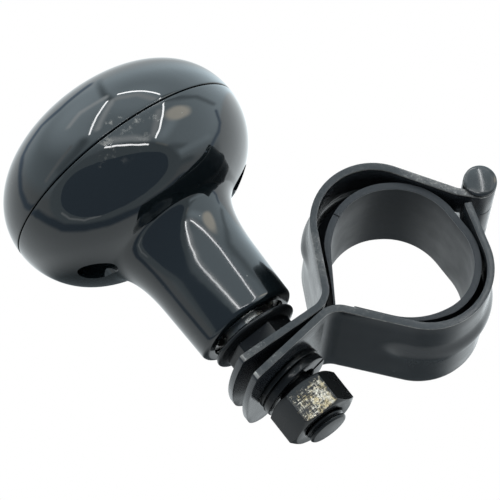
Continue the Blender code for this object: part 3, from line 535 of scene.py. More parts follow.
def thread_group():
    """A screw thread's ridge on the Z axis, running out to nothing at both ends."""
    group = Group("screw thread", base="Geometry", turns="Float", pitch="Float", root_radius="Float",
                  depth="Float", start_height="Float", finish="Material")
    base, turns, pitch, root, depth, start, finish = group.given
    inputs = {"Resolution": 48, "Rotations": turns, "Start Radius": root, "End Radius": root,
              "Height": turns * pitch}
    spiral = group.value("GeometryNodeCurveSpiral", inputs)
    up = group.value("ShaderNodeCombineXYZ", {"Z": start})
    placed = group.value("GeometryNodeSetPosition", {"Geometry": spiral, "Offset": up})
    along = group.value("GeometryNodeSplineParameter", output="Factor")
    run_out = (along.least(1.0 - along) * (turns * 1.6)).least(1.0).most(0.05)
    tapered = group.value("GeometryNodeSetCurveRadius", {"Curve": placed, "Radius": run_out})
    upright = group.value("GeometryNodeSetCurveNormal", {0: tapered}, mode="Z_UP")
    half, crest = pitch * 0.48, pitch * 0.07
    corners = ((0.0, half), (depth, crest), (depth, crest * -1.0), (0.0, half * -1.0))
    points = {f"Point {number}": group.value("ShaderNodeCombineXYZ", {"X": radial, "Y": axial})
              for number, (radial, axial) in enumerate(corners, 1)}
    profile = group.value("GeometryNodeCurvePrimitiveQuadrilateral", points, mode="POINTS")
    inputs = {"Curve": upright, "Profile Curve": profile, "Fill Caps": True}
    both = group.node("GeometryNodeJoinGeometry", {0: group.value("GeometryNodeCurveToMesh", inputs)})
    group.tree.links.new(base.socket, both.inputs[0])
    return group.close(Value(group, both.outputs[0]), finish)


LATHE = lathe_group()
THREAD = thread_group()


def linked(name, data):
    made = bpy.data.objects.new(name, data)
    bpy.context.scene.collection.objects.link(made)
    return made


def drawn(name, bm, solid=True):
    """Make an object of what a bmesh holds. A solid's faces are turned outward first."""
    if solid:
        bmesh.ops.recalc_face_normals(bm, faces=bm.faces)
    mesh = bpy.data.meshes.new(name)
    bm.to_mesh(mesh)
    bm.free()
    return linked(name, mesh)


def settled(made):
    """Replace an object's mesh by what its modifiers make of it, then drop the modifiers."""
    depsgraph = bpy.context.evaluated_depsgraph_get()
    mesh = bpy.data.meshes.new_from_object(made.evaluated_get(depsgraph))
    made.modifiers.clear()
    old = made.data
    made.data = mesh
    mesh.name = made.name
    bpy.data.meshes.remove(old)
    return made


def run_group(made, group, **values):
    """Run a node tree on an object, with its inputs by name, and keep the result as a plain mesh."""
    modifier = made.modifiers.new(group.tree.name, "NODES")
    modifier.node_group = group.tree
    for label, given in values.items():
        modifier[group.sockets[label]] = given
    return settled(made)


def outward(mesh):
    """Merge doubles and turn every face outward."""
    bm = bmesh.new()
    bm.from_mesh(mesh)
    bmesh.ops.remove_doubles(bm, verts=bm.verts, dist=0.001 * MM)
    bmesh.ops.recalc_face_normals(bm, faces=bm.faces)
    bm.to_mesh(mesh)
    bm.free()


def eased(points, radius, closed=False, steps=4):
    """Round the corners of a section with small arcs."""
    result = []
    count = len(points)
    for k, point in enumerate(points):
        if not closed and k in (0, count - 1):
            result.append(point)
            continue
        here = Vector(point)
        before = Vector(points[k - 1]) - here
        after = Vector(points[(k + 1) % count]) - here
        if before.length == 0 or after.length == 0 or before.angle(after) > math.radians(165):
            result.append(point)
            continue
        reach = min(radius, 0.45 * before.length, 0.45 * after.length)
        start = here + before.normalized() * reach
        end = here + after.normalized() * reach
        for step in range(steps + 1):
            t = step / steps
            result.append(tuple(start * (1 - t) ** 2 + here * 2 * t * (1 - t) + end * t * t))
    return result


def turned(name, section, look, segments=ROUND_SEGMENTS, closed=False, place=SPINDLE, turn=None):
    """A turned piece from a section of (radius, height), put in its place."""
    mesh = bpy.data.meshes.new(name)
    corners = [(radius - SPINDLE_RADIUS, -height, 0) for radius, height in section]
    edges = [(k, k + 1) for k in range(len(corners) - 1)]
    if closed:
        edges.append((len(corners) - 1, 0))
    mesh.from_pydata(corners, edges, [])
    made = run_group(linked(name, mesh), LATHE, segments=segments, spindle_radius=SPINDLE_RADIUS, finish=look)
    if turn:
        made.data.transform(turn)
    made.data.transform(Matrix.Translation(place))
    outward(made.data)
    return made


def shaded(made, angle=35):
    made.data.shade_smooth()
    made.data.set_sharp_from_angle(angle=math.radians(angle))
    return made


def combined(target, tool, operation="DIFFERENCE"):
    """Cut, join or intersect with a tool object, then drop the tool."""
    modifier = target.modifiers.new(tool.name, "BOOLEAN")
    modifier.operation = operation
    modifier.solver = "EXACT"
    modifier.object = tool
    settled(target)
    bpy.data.objects.remove(tool, do_unlink=True)
    return target


def softened(made, width, segments=2, angle=40):
    """Break every sharp edge with a small round bevel."""
    modifier = made.modifiers.new("broken edges", "BEVEL")
    modifier.width = width
    modifier.segments = segments
    modifier.limit_method = "ANGLE"
    modifier.angle_limit = math.radians(angle)
    modifier.use_clamp_overlap = True
    return settled(made)


def one_look(made, look):
    made.data.materials.clear()
    made.data.materials.append(look)
    return made


def stand_for(made, body, slot, *nodes):
    """Put a finished piece in the place of CAD nodes, on their body."""
    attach(made, body)
    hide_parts(*nodes)
    return made


# Sections and paths

def bezier(p0, p1, p2, p3, count):
    """Points along a cubic curve, without its first point."""
    points = []
    for k in range(1, count + 1):
        t = k / count
        u = 1 - t
        weights = (u ** 3, 3 * u * u * t, 3 * u * t * t, t ** 3)
        points.append(tuple(sum(w * p[i] for w, p in zip(weights, (p0, p1, p2, p3))) for i in (0, 1)))
    return points


def fillet(centre, radius, start, end, count=8):
    angles = [math.radians(start + (end - start) * k / count) for k in range(count + 1)]
    return [(centre[0] + radius * math.cos(a), centre[1] + radius * math.sin(a)) for a in angles]


def normal_left(angle):
    return Vector((-math.sin(angle), math.cos(angle)))


def heading(angle):
    return Vector((math.cos(angle), math.sin(angle)))


def heading_between(p, q):
    return math.atan2(q.y - p.y, q.x - p.x)


def meet(p, p_angle, q, q_angle):
    """Where the line through p meets the line through q."""
    step = heading(p_angle)
    across = normal_left(q_angle)
    return p + step * ((q - p).dot(across) / step.dot(across))


def arc_corner(centre, radius, before, after):
    """The corner whose fillet is the arc about a centre, between two headings."""
    side = math.copysign(1, after - before)
    start = centre - normal_left(before) * radius * side
    end = centre - normal_left(after) * radius * side
    return meet(start, before, end, after)


def arc(start, angle, radius, turn, step=ARC_STEP):
    side = math.copysign(1, turn)
    centre = start + normal_left(angle) * radius * side
    count = max(2, math.ceil(abs(turn) / step))
    headings = [angle + turn * k / count for k in range(count + 1)]
    return [(centre - normal_left(h) * radius * side, h) for h in headings]


def rounded(corners):
    """Stations (point, heading) along a line of corners, each corner with its fillet radius."""
    stations = [(corners[0][0], heading_between(corners[0][0], corners[1][0]))]
    for (before, _), (corner, radius), (after, _) in zip(corners, corners[1:], corners[2:]):
        h0 = heading_between(before, corner)
        h1 = heading_between(corner, after)
        turn = (h1 - h0 + math.pi) % (2 * math.pi) - math.pi
        start = corner - heading(h0) * abs(radius * math.tan(turn / 2))
        stations += arc(start, h0, radius, turn)
    last, end = corners[-2][0], corners[-1][0]
    stations.append((end, heading_between(last, end)))
    return stations


def measured(stations):
    """Add the length walked so far to each station."""
    walked = 0
    result = []
    previous = stations[0][0]
    for point, angle in stations:
        walked += (point - previous).length
        previous = point
        result.append((point, angle, walked))
    return result


def with_stops(stations, spacing, extra=()):
    """Put stations at even lengths along the straight runs, and at the extra ones asked for."""
    stops = sorted([*extra, *(spacing * k for k in range(1, int(stations[-1][2] / spacing)))])
    result = [stations[0]]
    for (p, a, s), (q, b, t) in zip(stations, stations[1:]):
        for stop in stops:
            room = 0.02 * MM if stop in extra else 0.3 * spacing
            if s + room < stop < t - room:
                share = (stop - s) / (t - s)
                result.append((p.lerp(q, share), a + (b - a) * share, stop))
        result.append((q, b, t))
    return result


def toward_curl(start, side):
    reach = HINGE - start
    return math.atan2(reach.y, reach.x) - side * math.asin(CURL_R / reach.length)


def curled(corners, kink, side):
    """Stations of a strap's outer face, and the length at which its curl round the pin starts."""
    last = toward_curl(kink, side)
    touch = HINGE - normal_left(last) * CURL_R * side
    stations = rounded([*corners, (kink, KINK_R), (touch, 0)])
    straight = measured(stations)[-1][2]
    stations += arc(touch, last, CURL_R, side * CURL_TURN, CURL_STEP)[1:]
    return measured(stations), straight


def upper_path():
    ear = Vector((BOLT_X - EAR_REACH - STRAP_T, UPPER_EAR_TOP))
    top = arc_corner(UPPER_ARC, UPPER_ARC_R, UPPER_FLANK, UPPER_FALL)
    bend = meet(ear, 0, top, UPPER_FLANK)
    kink = meet(top, UPPER_FALL, HINGE + Vector((0, UPPER_KINK_RISE)), 0)
    return curled([(ear, 0), (bend, EAR_BEND_R), (top, UPPER_ARC_R)], kink, 1)


def lower_path():
    ear = Vector((BOLT_X, LOWER_EAR_Z)) - heading(LOWER_EAR_TILT) * (EAR_REACH + STRAP_T)
    bottom = arc_corner(LOWER_ARC, LOWER_ARC_R, LOWER_FLANK, LOWER_RISE)
    bend = meet(ear, LOWER_EAR_TILT, bottom, LOWER_FLANK)
    kink = meet(bottom, LOWER_RISE, HINGE - Vector((0, LOWER_KINK_DROP)), 0)
    return curled([(ear, 0), (bend, EAR_BEND_R), (bottom, LOWER_ARC_R)], kink, -1)


def bead_height(walked, y, start, end):
    past = max(start - walked, walked - end, 0)
    away = math.hypot(past, y)
    if away >= BEAD_HALF:
        return 0
    return BEAD_H * math.cos(math.pi / 2 * away / BEAD_HALF) ** 2


def sheet(name, stations, columns, outer, inner, kept):
    """A closed body from a grid of cells. outer and inner give the offset along the left normal at a
    station and a column, and kept says which cells are there."""
    bm = bmesh.new()
    grid = {}

    def corner(i, j, side):
        key = (i, j, side)
        if key not in grid:
            point, angle, walked = stations[i]
            offset = (outer if side else inner)(walked, columns[j])
            at = point + normal_left(angle) * offset
            grid[key] = bm.verts.new((at.x, columns[j], at.y))
        return grid[key]

    rows = range(len(stations) - 1)
    spans = range(len(columns) - 1)

    def filled(i, j):
        if i not in rows or j not in spans:
            return False
        return kept((stations[i][2] + stations[i + 1][2]) / 2, (columns[j] + columns[j + 1]) / 2)

    for i in rows:
        for j in spans:
            if not filled(i, j):
                continue
            for side in (0, 1):
                bm.faces.new([corner(*at, side) for at in ((i, j), (i + 1, j), (i + 1, j + 1), (i, j + 1))])
            edges = (((i - 1, j), (i, j), (i, j + 1)), ((i + 1, j), (i + 1, j), (i + 1, j + 1)),
                     ((i, j - 1), (i, j), (i + 1, j)), ((i, j + 1), (i, j + 1), (i + 1, j + 1)))
            for neighbour, a, b in edges:
                if not filled(*neighbour):
                    bm.faces.new([corner(*a, 0), corner(*b, 0), corner(*b, 1), corner(*a, 1)])
    return drawn(name, bm)


def prism(name, outline, low, high):
    bm = bmesh.new()
    base = bm.faces.new([bm.verts.new((x, y, low)) for x, y in outline])
    risen = bmesh.ops.extrude_face_region(bm, geom=[base])
    tops = [item for item in risen["geom"] if isinstance(item, bmesh.types.BMVert)]
    bmesh.ops.translate(bm, vec=(0, 0, high - low), verts=tops)
    return drawn(name, bm)


# Straps and liner

def ear_end_cutter():
    """Trims an ear's free end to a shallow arc, crisp at the front corner and well rounded behind."""
    far = BOLT_X - 2 * EAR_REACH
    corner_x = BOLT_X - EAR_REACH + EAR_SAGITTA
    front_x = corner_x - EAR_FRONT_PROUD
    edge = [(far, -HALF_W - GAP), (front_x + EAR_CORNER_R + GAP, -HALF_W - GAP)]
    edge += fillet((front_x + EAR_CORNER_R, EAR_CORNER_R - HALF_W), EAR_CORNER_R, -90, -160, 6)
    inset = HALF_W - EAR_CORNER_R
    for k in range(2, 33):
        y = -inset + 2 * inset * k / 40
        base = front_x + (corner_x - front_x) * (y + inset) / (2 * inset)
        edge.append((base - EAR_SAGITTA * (1 - (y / inset) ** 2), y))
    x, y = edge[-1]
    back_x = corner_x + EAR_FAR_RUN
    out, up, level = EAR_FAR_PULLS
    edge += bezier((x, y), (x + out, y + up), (back_x - level, HALF_W), (back_x, HALF_W), 10)
    edge += [(back_x, HALF_W + GAP), (far, HALF_W + GAP)]
    return prism("ear end tool", edge, -30 * MM, 30 * MM)


def strap_columns(split):
    """Lines along the strap: close over the bead, and at the edges of the hinge tabs."""
    steps = 12
    half = [BEAD_HALF * k / steps for k in range(steps + 1)]
    half = [y for y in half if y < split - 0.1 * MM or y > split + 0.1 * MM]
    half += [split, 0.5 * (split + HALF_W), HALF_W]
    half = sorted(set(half))
    return [-y for y in reversed(half[1:])] + half


def pressed(name, stations, split, bead, side, kept, hole):
    """A strap bent from sheet: beaded, its ear trimmed and holed, its edges broken."""
    made = sheet(name, stations, strap_columns(split),
                 lambda s, y: side * bead_height(s, y, *bead),
                 lambda s, y: side * (bead_height(s, y, *bead) - STRAP_T), kept)
    combined(made, ear_end_cutter())
    combined(made, hole)
    return one_look(shaded(softened(made, SHEET_EDGE, 3)), STRAP)


def upper_strap():
    stations, straight = upper_path()
    split = TAB_HALF + GAP
    cut = straight - UPPER_CUT_BACK
    bead = (UPPER_BEAD_START + EAR_REACH + STRAP_T, cut - BEAD_HINGE_MARGIN)
    hole = [(0, -10 * MM), (BOLT_R + GAP, -10 * MM), (BOLT_R + GAP, 10 * MM), (0, 10 * MM)]
    return pressed("upper_strap_pressing", with_stops(stations, 1.0 * MM, (cut,)), split, bead, 1,
                   lambda s, y: s < cut or abs(y) > split, turned("ear hole tool", hole, STRAP))


def lower_strap():
    stations, straight = lower_path()
    tab = next(s for p, a, s in stations if s > straight / 2 and p.y > HINGE.y - LOWER_KINK_DROP)
    bead = (LOWER_BEAD_START + EAR_REACH + STRAP_T, tab - BEAD_HINGE_MARGIN)
    outline = []
    for k in range(64):
        angle = 2 * math.pi * (k + 0.5) / 64
        centre = BOLT_X + (EAR_SLOT_IN if math.cos(angle) > 0 else -EAR_SLOT_OUT)
        outline.append((centre + WASHER_BORE * math.cos(angle), WASHER_BORE * math.sin(angle)))
    return pressed("lower_strap_pressing", with_stops(stations, 1.0 * MM), TAB_HALF, bead, -1,
                   lambda s, y: s < tab or abs(y) < TAB_HALF, prism("ear slot tool", outline, -10 * MM, 0))


def liner_path():
    lines = [(Vector(point) * MM, math.radians(angle)) for point, angle in LINER_RUNS]
    start = lines[0][0] - heading(lines[0][1]) * LINER_TAILS[0]
    end = lines[-1][0] + heading(lines[-1][1]) * LINER_TAILS[1]
    corners = [(meet(*one, *two), radius * MM) for one, two, radius in zip(lines, lines[1:], LINER_BENDS)]
    return with_stops(measured(rounded([(start, 0), *corners, (end, 0)])), 1.5 * MM)


def clear_way(start, direction, faces):
    """Distance from a point to the first face that its direction meets."""
    nearest = HALF_W
    for face in faces:
        for p, q in zip(face, face[1:]):
            edge = q - p
            slant = direction.cross(edge)
            if slant == 0:
                continue
            away = (p - start).cross(edge) / slant
            share = (p - start).cross(direction) / slant
            if away > 0 and 0 <= share <= 1:
                nearest = min(nearest, away)
    return nearest


def rim_liner():
    stations = liner_path()
    length = stations[-1][2]
    bearing = {s: math.atan2(p.y, p.x) for p, a, s in stations}
    walls = []
    for side, (path, straight) in ((1, upper_path()), (-1, lower_path())):
        walls.append([p - normal_left(a) * STRAP_T * side for p, a, s in path if s <= straight])
    room = {s: clear_way(p, normal_left(a), walls) for p, a, s in stations}

    def wall(s):
        near = min(s / LINER_UPPER_TAPER, (length - s) / LINER_LOWER_TAPER, 1)
        return LINER_TIP_T + (LINER_T - LINER_TIP_T) * near ** 2

    def rib(s):
        if s < LINER_UPPER_TAPER or length - s < LINER_LOWER_TAPER:
            return 0
        crest = max(0, math.cos(bearing[s] - RIB_CREST)) ** 4
        tall = RIB_SIDE + (RIB_TOP - RIB_SIDE) * crest
        start = min(s - LINER_UPPER_TAPER, length - LINER_LOWER_TAPER - s) / RIB_RUN_IN
        return max(0, min(tall * min(1, start), room[s] - GAP - wall(s)))

    crown = 0.75 * RIB_HALF
    half = [0, crown, RIB_HALF, 0.5 * (RIB_HALF + LINER_HALF), LINER_HALF]
    columns = [-y for y in reversed(half[1:])] + half
    made = sheet("rim_liner_moulding", stations, columns,
                 lambda s, y: wall(s) + (rib(s) if abs(y) <= crown else 0),
                 lambda s, y: 0,
                 lambda s, y: True)
    return one_look(shaded(softened(made, 0.25 * MM, 3, 50)), RUBBER)


# Nuts, bolt, washers and pin

def hex_solid(name, across_flats, low, high, turn, chamfered_low=True):
    """A hexagon on the spindle line, its corners turned off to a cone."""
    radius = across_flats / math.sqrt(3)
    angles = [turn + math.radians(60 * k - 60) for k in range(6)]
    outline = [(BOLT_X + radius * math.cos(a), radius * math.sin(a)) for a in angles]
    made = prism(name, outline, low, high)
    face_r = 0.97 * across_flats / 2
    drop = (radius - across_flats / 2 + GAP) * math.tan(math.radians(30))
    reach = radius + GAP
    bottom = [(0, low - GAP), (face_r, low - GAP), (face_r, low), (reach, low + drop)]
    if not chamfered_low:
        bottom = [(0, low - GAP), (reach, low - GAP)]
    top = [(reach, high - drop), (face_r, high), (face_r, high + GAP), (0, high + GAP)]
    cone = turned("cone tool", bottom + top, COAT, 120)
    return combined(made, cone, "INTERSECT")


def bored(made, low, high):
    """Run the bore through a nut, with a countersink at each face."""
    wide = BORE_R + COUNTERSINK
    section = [(0, low - GAP), (wide, low - GAP), (wide, low), (BORE_R, low + COUNTERSINK),
               (BORE_R, high - COUNTERSINK), (wide, high), (wide, high + GAP), (0, high + GAP)]
    return combined(made, turned("bore tool", section, COAT))


def clamp_nut():
    low = NUT_TOP_Z - NUT_H
    made = bored(hex_solid("clamp_nut_black", NUT_AF, low, NUT_TOP_Z, NUT_TURN), low, NUT_TOP_Z)
    return one_look(shaded(softened(made, NUT_EDGE, 3, 25)), WORN)


def flange_nut():
    low = UPPER_EAR_TOP + GAP
    high = low + FLANGE_NUT_H
    made = hex_solid("flange_nut_black", FLANGE_AF, low, high - FLANGE_T / 2, FLANGE_TURN)
    edge_r = 0.3 * FLANGE_T
    section = [(0, high - FLANGE_T), (FLANGE_AF / math.sqrt(3) + GAP, high - FLANGE_T)]
    section += fillet((FLANGE_R - edge_r, high - 1.5 * edge_r), edge_r, -60, 70)
    section += [(0.86 * FLANGE_R, high), (0, high)]
    combined(made, turned("flange disc", section, COAT), "UNION")
    return one_look(shaded(softened(bored(made, low, high), NUT_EDGE, 3, 30)), DEEP_COAT)


def spindle_levels():
    """Heights of the pieces stacked on the spindle, from the clamp's ear upward."""
    levels = {"lower_bearing": UPPER_EAR_TOP + 3 * GAP + FLANGE_NUT_H + LOWER_SPACER_H}
    levels["upper_bearing"] = levels["lower_bearing"] + BEARING_SPAN
    levels["head"] = levels["upper_bearing"] + BEARING_W + HEAD_WASHER_T + 2 * GAP
    return levels


def spindle_bolt():
    """Hexagon bolt, head up inside the knob, threaded over its lower half."""
    head = spindle_levels()["head"]
    made = hex_solid("spindle_bolt_black", HEAD_AF, head, head + HEAD_H, 0, False)
    root = BOLT_R - THREAD_DEPTH
    thread_top = BOLT_END_Z + (THREAD_TURNS + 2) * THREAD_PITCH
    shank = [(0, BOLT_END_Z), *((radius * MM, BOLT_END_Z + above * MM) for radius, above in BOLT_RINGS)]
    shank += [(root, thread_top), (BOLT_R, thread_top + THREAD_DEPTH), (BOLT_R, head + BOLT_R),
              (0, head + BOLT_R)]
    combined(made, turned("shank", shank, COAT), "UNION")
    shaded(one_look(softened(made, 0.2 * MM, 2, 35), COAT))
    made.data.transform(Matrix.Translation(-SPINDLE))
    run_group(made, THREAD, turns=float(THREAD_TURNS), pitch=THREAD_PITCH, root_radius=root - THREAD_SINK,
              depth=THREAD_DEPTH + THREAD_SINK, start_height=BOLT_END_Z + THREAD_START * THREAD_PITCH, finish=COAT)
    made.data.transform(Matrix.Translation(SPINDLE))
    return one_look(shaded(made, 30), COAT)


def under_ear(depth):
    return Vector((BOLT_X, 0, LOWER_EAR_Z - depth / math.cos(LOWER_EAR_TILT)))


def washer_section(outer, half, edge, steps):
    return eased([(WASHER_BORE, -half), (outer, -half), (outer, half), (WASHER_BORE, half)], edge, True, steps)


def plain_washer():
    half = WASHER_T / 2
    made = turned("plain_washer_black", washer_section(WASHER_R, half, 0.25 * MM, 4), COAT, closed=True,
                  place=under_ear(GAP + half), turn=Matrix.Rotation(-LOWER_EAR_TILT, 4, "Y"))
    return one_look(shaded(made), COAT)


def spring_washer():
    """Split ring of square section whose two ends stand slightly apart."""
    count = 90
    section = washer_section(SPRING_R, SPRING_T / 2, 0.28 * MM, 3)
    bm = bmesh.new()
    rings = []
    for k in range(count + 1):
        angle = SPRING_SPLIT + SPRING_GAP / 2 + (2 * math.pi - SPRING_GAP) * k / count
        lift = SPRING_LIFT * (k / count - 0.5)
        rings.append([bm.verts.new((r * math.cos(angle), r * math.sin(angle), z + lift)) for r, z in section])
    size = len(section)
    for one, two in zip(rings, rings[1:]):
        for k in range(size):
            bm.faces.new([one[k], one[(k + 1) % size], two[(k + 1) % size], two[k]])
    bm.faces.new(rings[0])
    bm.faces.new(rings[-1])
    made = drawn("spring_washer_black", bm)
    depth = 2 * GAP + WASHER_T + (SPRING_T + SPRING_LIFT) / 2
    made.data.transform(Matrix.Translation(under_ear(depth)) @ Matrix.Rotation(-LOWER_EAR_TILT, 4, "Y"))
    return one_look(shaded(made), COAT)


def hinge_pin():
    """Riveted pin: a low domed head in front and the peened end behind."""
    head_r = BARREL_R - 0.1 * MM
    head = -HALF_W - GAP
    back = HALF_W + GAP
    dome = [(head_r * math.sin(math.radians(a)), head - PIN_RIM_H - PIN_DOME_H * math.cos(math.radians(a)))
            for a in range(0, 91, 9)]
    peen = [(1.5 * PIN_R * math.cos(math.radians(a)), back + PEEN_H * math.sin(math.radians(a)))
            for a in range(0, 91, 9)]
    section = [*dome, (head_r, head), (PIN_R, head), (PIN_R, back), *peen[:-1], (0, back + PEEN_H)]
    turn = Matrix.Rotation(math.radians(-90), 4, "X")
    made = turned("hinge_pin_riveted", section, COAT, place=Vector((HINGE.x, 0, HINGE.y)), turn=turn)
    return one_look(shaded(made), PIN_COAT)


# Knob

def knob_outline():
    """Outer section of the knob's lower half, from the neck's edge up to the seam."""
    neck = math.atan2(NECK_TOP_R - NECK_R, NECK_TOP_Z - NECK_END_Z)
    start = (NECK_TOP_R, NECK_TOP_Z)
    first = (start[0] + NECK_PULL * math.sin(neck), start[1] + NECK_PULL * math.cos(neck))
    slope = (math.sin(FLARE_ANGLE), math.cos(FLARE_ANGLE))
    flare = (FLARE_R, FLARE_Z)
    before = (FLARE_R - NECK_FLARE_PULL * slope[0], FLARE_Z - NECK_FLARE_PULL * slope[1])
    pull = FLARE_TENSION * (SEAM_R - FLARE_R)
    after = (FLARE_R + pull * slope[0], FLARE_Z + pull * slope[1])
    edge = fillet((NECK_R - NECK_EDGE_R, NECK_END_Z + NECK_EDGE_R), NECK_EDGE_R, -90, 0)
    bowl = bezier(flare, after, (SEAM_R, SEAM_Z - SEAM_PULL), (SEAM_R, SEAM_Z - GAP / 2), 26)
    return edge + [start] + bezier(start, first, before, flare, 22) + bowl


def within(outline, wall):
    """The points of a section moved in by a wall. The section runs outward and up."""
    moved_in = []
    for before, here, after in zip(outline, outline[1:], outline[2:]):
        along = Vector(after) - Vector(before)
        moved_in.append(tuple(Vector(here) + Vector((-along.y, along.x)).normalized() * wall))
    return moved_in


def screw_places():
    for k in range(SCREWS):
        angle = SCREW_FIRST + 2 * math.pi * k / SCREWS
        yield k + 1, SPINDLE + Vector((SCREW_PCR * math.cos(angle), SCREW_PCR * math.sin(angle), 0))


def with_posts(hollow, radius, low, high):
    """Leave a round boss standing in a cavity at each screw."""
    for number, place in screw_places():
        post = turned(f"post {number}", [(0, low), (radius, low), (radius, high), (0, high)], PLASTIC, 48,
                      place=place)
        combined(hollow, post)
    return hollow


def broken_rim(radius, rim, side):
    """The parting edge's small radius, drawn up (1) or down (-1) from the rim."""
    return fillet((radius - RIM_EDGE, rim + side * RIM_EDGE), RIM_EDGE, 0, -90 * side, 5)


def knob_body():
    """Neck and bowl in one moulding, with two bearing seats and two screw wells."""
    levels = spindle_levels()
    seat_r = BEARING_R + GAP
    waist_r = BEARING_R - 1.5 * MM
    lower_seat = levels["lower_bearing"] + BEARING_W + GAP
    upper_seat = levels["upper_bearing"] - GAP
    floor_z = levels["upper_bearing"] + BEARING_W + GAP
    rim = SEAM_Z - GAP / 2
    inside_r = SEAM_R - KNOB_WALL
    outline = knob_outline()[:-1]
    outside = [(0, NECK_END_Z), *outline, *broken_rim(SEAM_R, rim, -1), (0, rim)]
    body = turned("knob_body_moulding", outside, PLASTIC, KNOB_SEGMENTS)
    seats = [(seat_r, NECK_END_Z - GAP), (seat_r, lower_seat), (waist_r, lower_seat), (waist_r, upper_seat),
             (seat_r, upper_seat), (seat_r, floor_z)]
    ledge = (seat_r + FLOOR_LEDGE, floor_z)
    bowl = within(knob_outline(), KNOB_WALL)
    bowl = [point for point in bowl if point[1] > floor_z + GAP and ledge[0] < point[0] < inside_r]
    inside = [(0, NECK_END_Z - GAP), *seats, ledge, *bowl, (inside_r, rim + GAP), (0, rim + GAP)]
    hollow = turned("bowl hollow", inside, PLASTIC, ROUND_SEGMENTS)
    with_posts(hollow, WELL_R + WELL_WALL, lower_seat, rim - LIP_H - GAP)
    combined(body, hollow)
    deep = FLARE_Z - 2 * WELL_R
    hole_r = SCREW_R + GAP
    well = [(0, deep), (WELL_R, deep), (WELL_R, WELL_TOP_Z), (hole_r, WELL_TOP_Z), (hole_r, rim), (0, rim)]
    for number, place in screw_places():
        combined(body, turned(f"well {number}", well, PLASTIC, 64, place=place))
    softened(body, MOULDED_EDGE, 2, 38)
    return one_look(shaded(body), PLASTIC)


def knob_cap():
    """Domed cap with a locating lip and two screw bosses."""
    rim = SEAM_Z + GAP / 2
    top = rim + DOME_H
    inside_r = SEAM_R - KNOB_WALL
    lip_r = inside_r - GAP
    lip_low = rim - LIP_H
    shoulder = (SEAM_R, rim + DOME_TENSIONS[0] * DOME_H)
    dome = bezier((SEAM_R, rim), shoulder, (DOME_TENSIONS[1] * SEAM_R, top), (0, top), 48)
    edge = list(reversed(broken_rim(SEAM_R, rim, 1)))
    dome = [point for point in dome if point[1] > rim + 0.3 * MM]
    outside = [(0, lip_low), (lip_r, lip_low), (lip_r, rim), *edge, *dome]
    cap = turned("knob_cap_moulding", outside, PLASTIC, KNOB_SEGMENTS)
    ceiling = top - KNOB_WALL
    inner_lip = lip_r - LIP_T
    spring = (inner_lip, rim + VAULT_TENSIONS[0] * (ceiling - rim))
    vault = bezier((inner_lip, rim), spring, (VAULT_TENSIONS[1] * inner_lip, ceiling), (0, ceiling), 24)
    inside = [(0, lip_low - GAP), (inner_lip, lip_low - GAP), (inner_lip, rim), *vault]
    hollow = turned("cap hollow", inside, PLASTIC, ROUND_SEGMENTS)
    with_posts(hollow, BOSS_R, lip_low - 2 * GAP, top)
    combined(cap, hollow)
    for number, place in screw_places():
        high = WELL_TOP_Z + SCREW_L + GAP
        pilot = [(0, lip_low - GAP), (SCREW_R + GAP, lip_low - GAP), (SCREW_R + GAP, high), (0, high)]
        combined(cap, turned(f"pilot {number}", pilot, PLASTIC, 32, place=place))
    return one_look(shaded(cap), PLASTIC)


def cap_screw(number, place):
    """Cross-head screw that goes up through a well into the cap's boss."""
    seat = WELL_TOP_Z - GAP
    low = seat - SCREW_HEAD_H
    dome = [(SCREW_HEAD_R * math.sin(math.radians(a)), low + SCREW_DOME_H * (1 - math.cos(math.radians(a))))
            for a in range(0, 91, 10)]
    section = [*dome, (SCREW_HEAD_R, seat), (SCREW_R, seat), (SCREW_R, seat + SCREW_L - SCREW_POINT),
               (0, seat + SCREW_L)]
    made = turned(f"cap_screw_{number}_cross_head", section, STEEL, 40, place=place)
    half_l, half_w, depth = CROSS
    for turn in (0, 90):
        outline = [(-half_l, -half_w), (half_l, -half_w), (half_l, half_w), (-half_l, half_w)]
        blade = prism("cross tool", outline, low - GAP, low + depth)
        blade.data.transform(Matrix.Translation(place) @ Matrix.Rotation(math.radians(turn + 20), 4, "Z"))
        combined(made, blade)
    return one_look(shaded(made), STEEL)


# Stage, light and camera

def camera_axes():
    """The camera's right, up and backward directions."""
    forward = CAMERA_FORWARD.normalized()
    right = (CAMERA_RIGHT - forward * CAMERA_RIGHT.dot(forward)).normalized()
    return right, right.cross(forward), -forward


class Studio(Net):
    """The studio's light, drawn in degrees away from the camera."""

    def patch(self, centre, radii, soft):
        """1 inside an oval round a direction, fading out over a share of its size."""
        scale = (1 / radii[0], 1 / radii[1], 0)
        offset = (-centre[0] / radii[0], -centre[1] / radii[1], 0)
        out = self.vector("LENGTH", self.vector("MULTIPLY_ADD", self.spot, scale, offset))
        return out.spread(1 + soft, 1 - soft)

    def line(self, points, half, soft):
        """1 along a line of directions, fading out beside it."""
        nearest = None
        for start, end in zip(points, points[1:]):
            run = Vector((*end, 0)) - Vector((*start, 0))
            away = self.vector("SUBTRACT", self.spot, (*start, 0))
            share = self.vector("DOT_PRODUCT", away, run / run.length_squared)
            along = self.vector("SCALE", run, Scale=self.value("ShaderNodeClamp", {0: share}))
            gap = self.vector("DISTANCE", away, along)
            nearest = nearest.least(gap) if nearest else gap
        return nearest.spread(half + soft, max(half - soft, 0))

    def colour(self, where):
        """A white sheet, the tent's walls and the dark opening for the camera, by direction."""
        parts = [self.vector("DOT_PRODUCT", where, axis) for axis in camera_axes()]
        flat = self.vector("NORMALIZE", self.value("ShaderNodeCombineXYZ", {"X": parts[0], "Y": parts[1]}))
        self.spot = self.vector("SCALE", flat, Scale=parts[2].arccosine().degrees())
        colour = TINTS["sheet"]
        for kind, place, size, soft, level, tint in STUDIO:
            share = (self.patch if kind == "patch" else self.line)(place, size, soft)
            colour = self.blend(share, colour, [level * part for part in TINTS[tint]])
        return colour


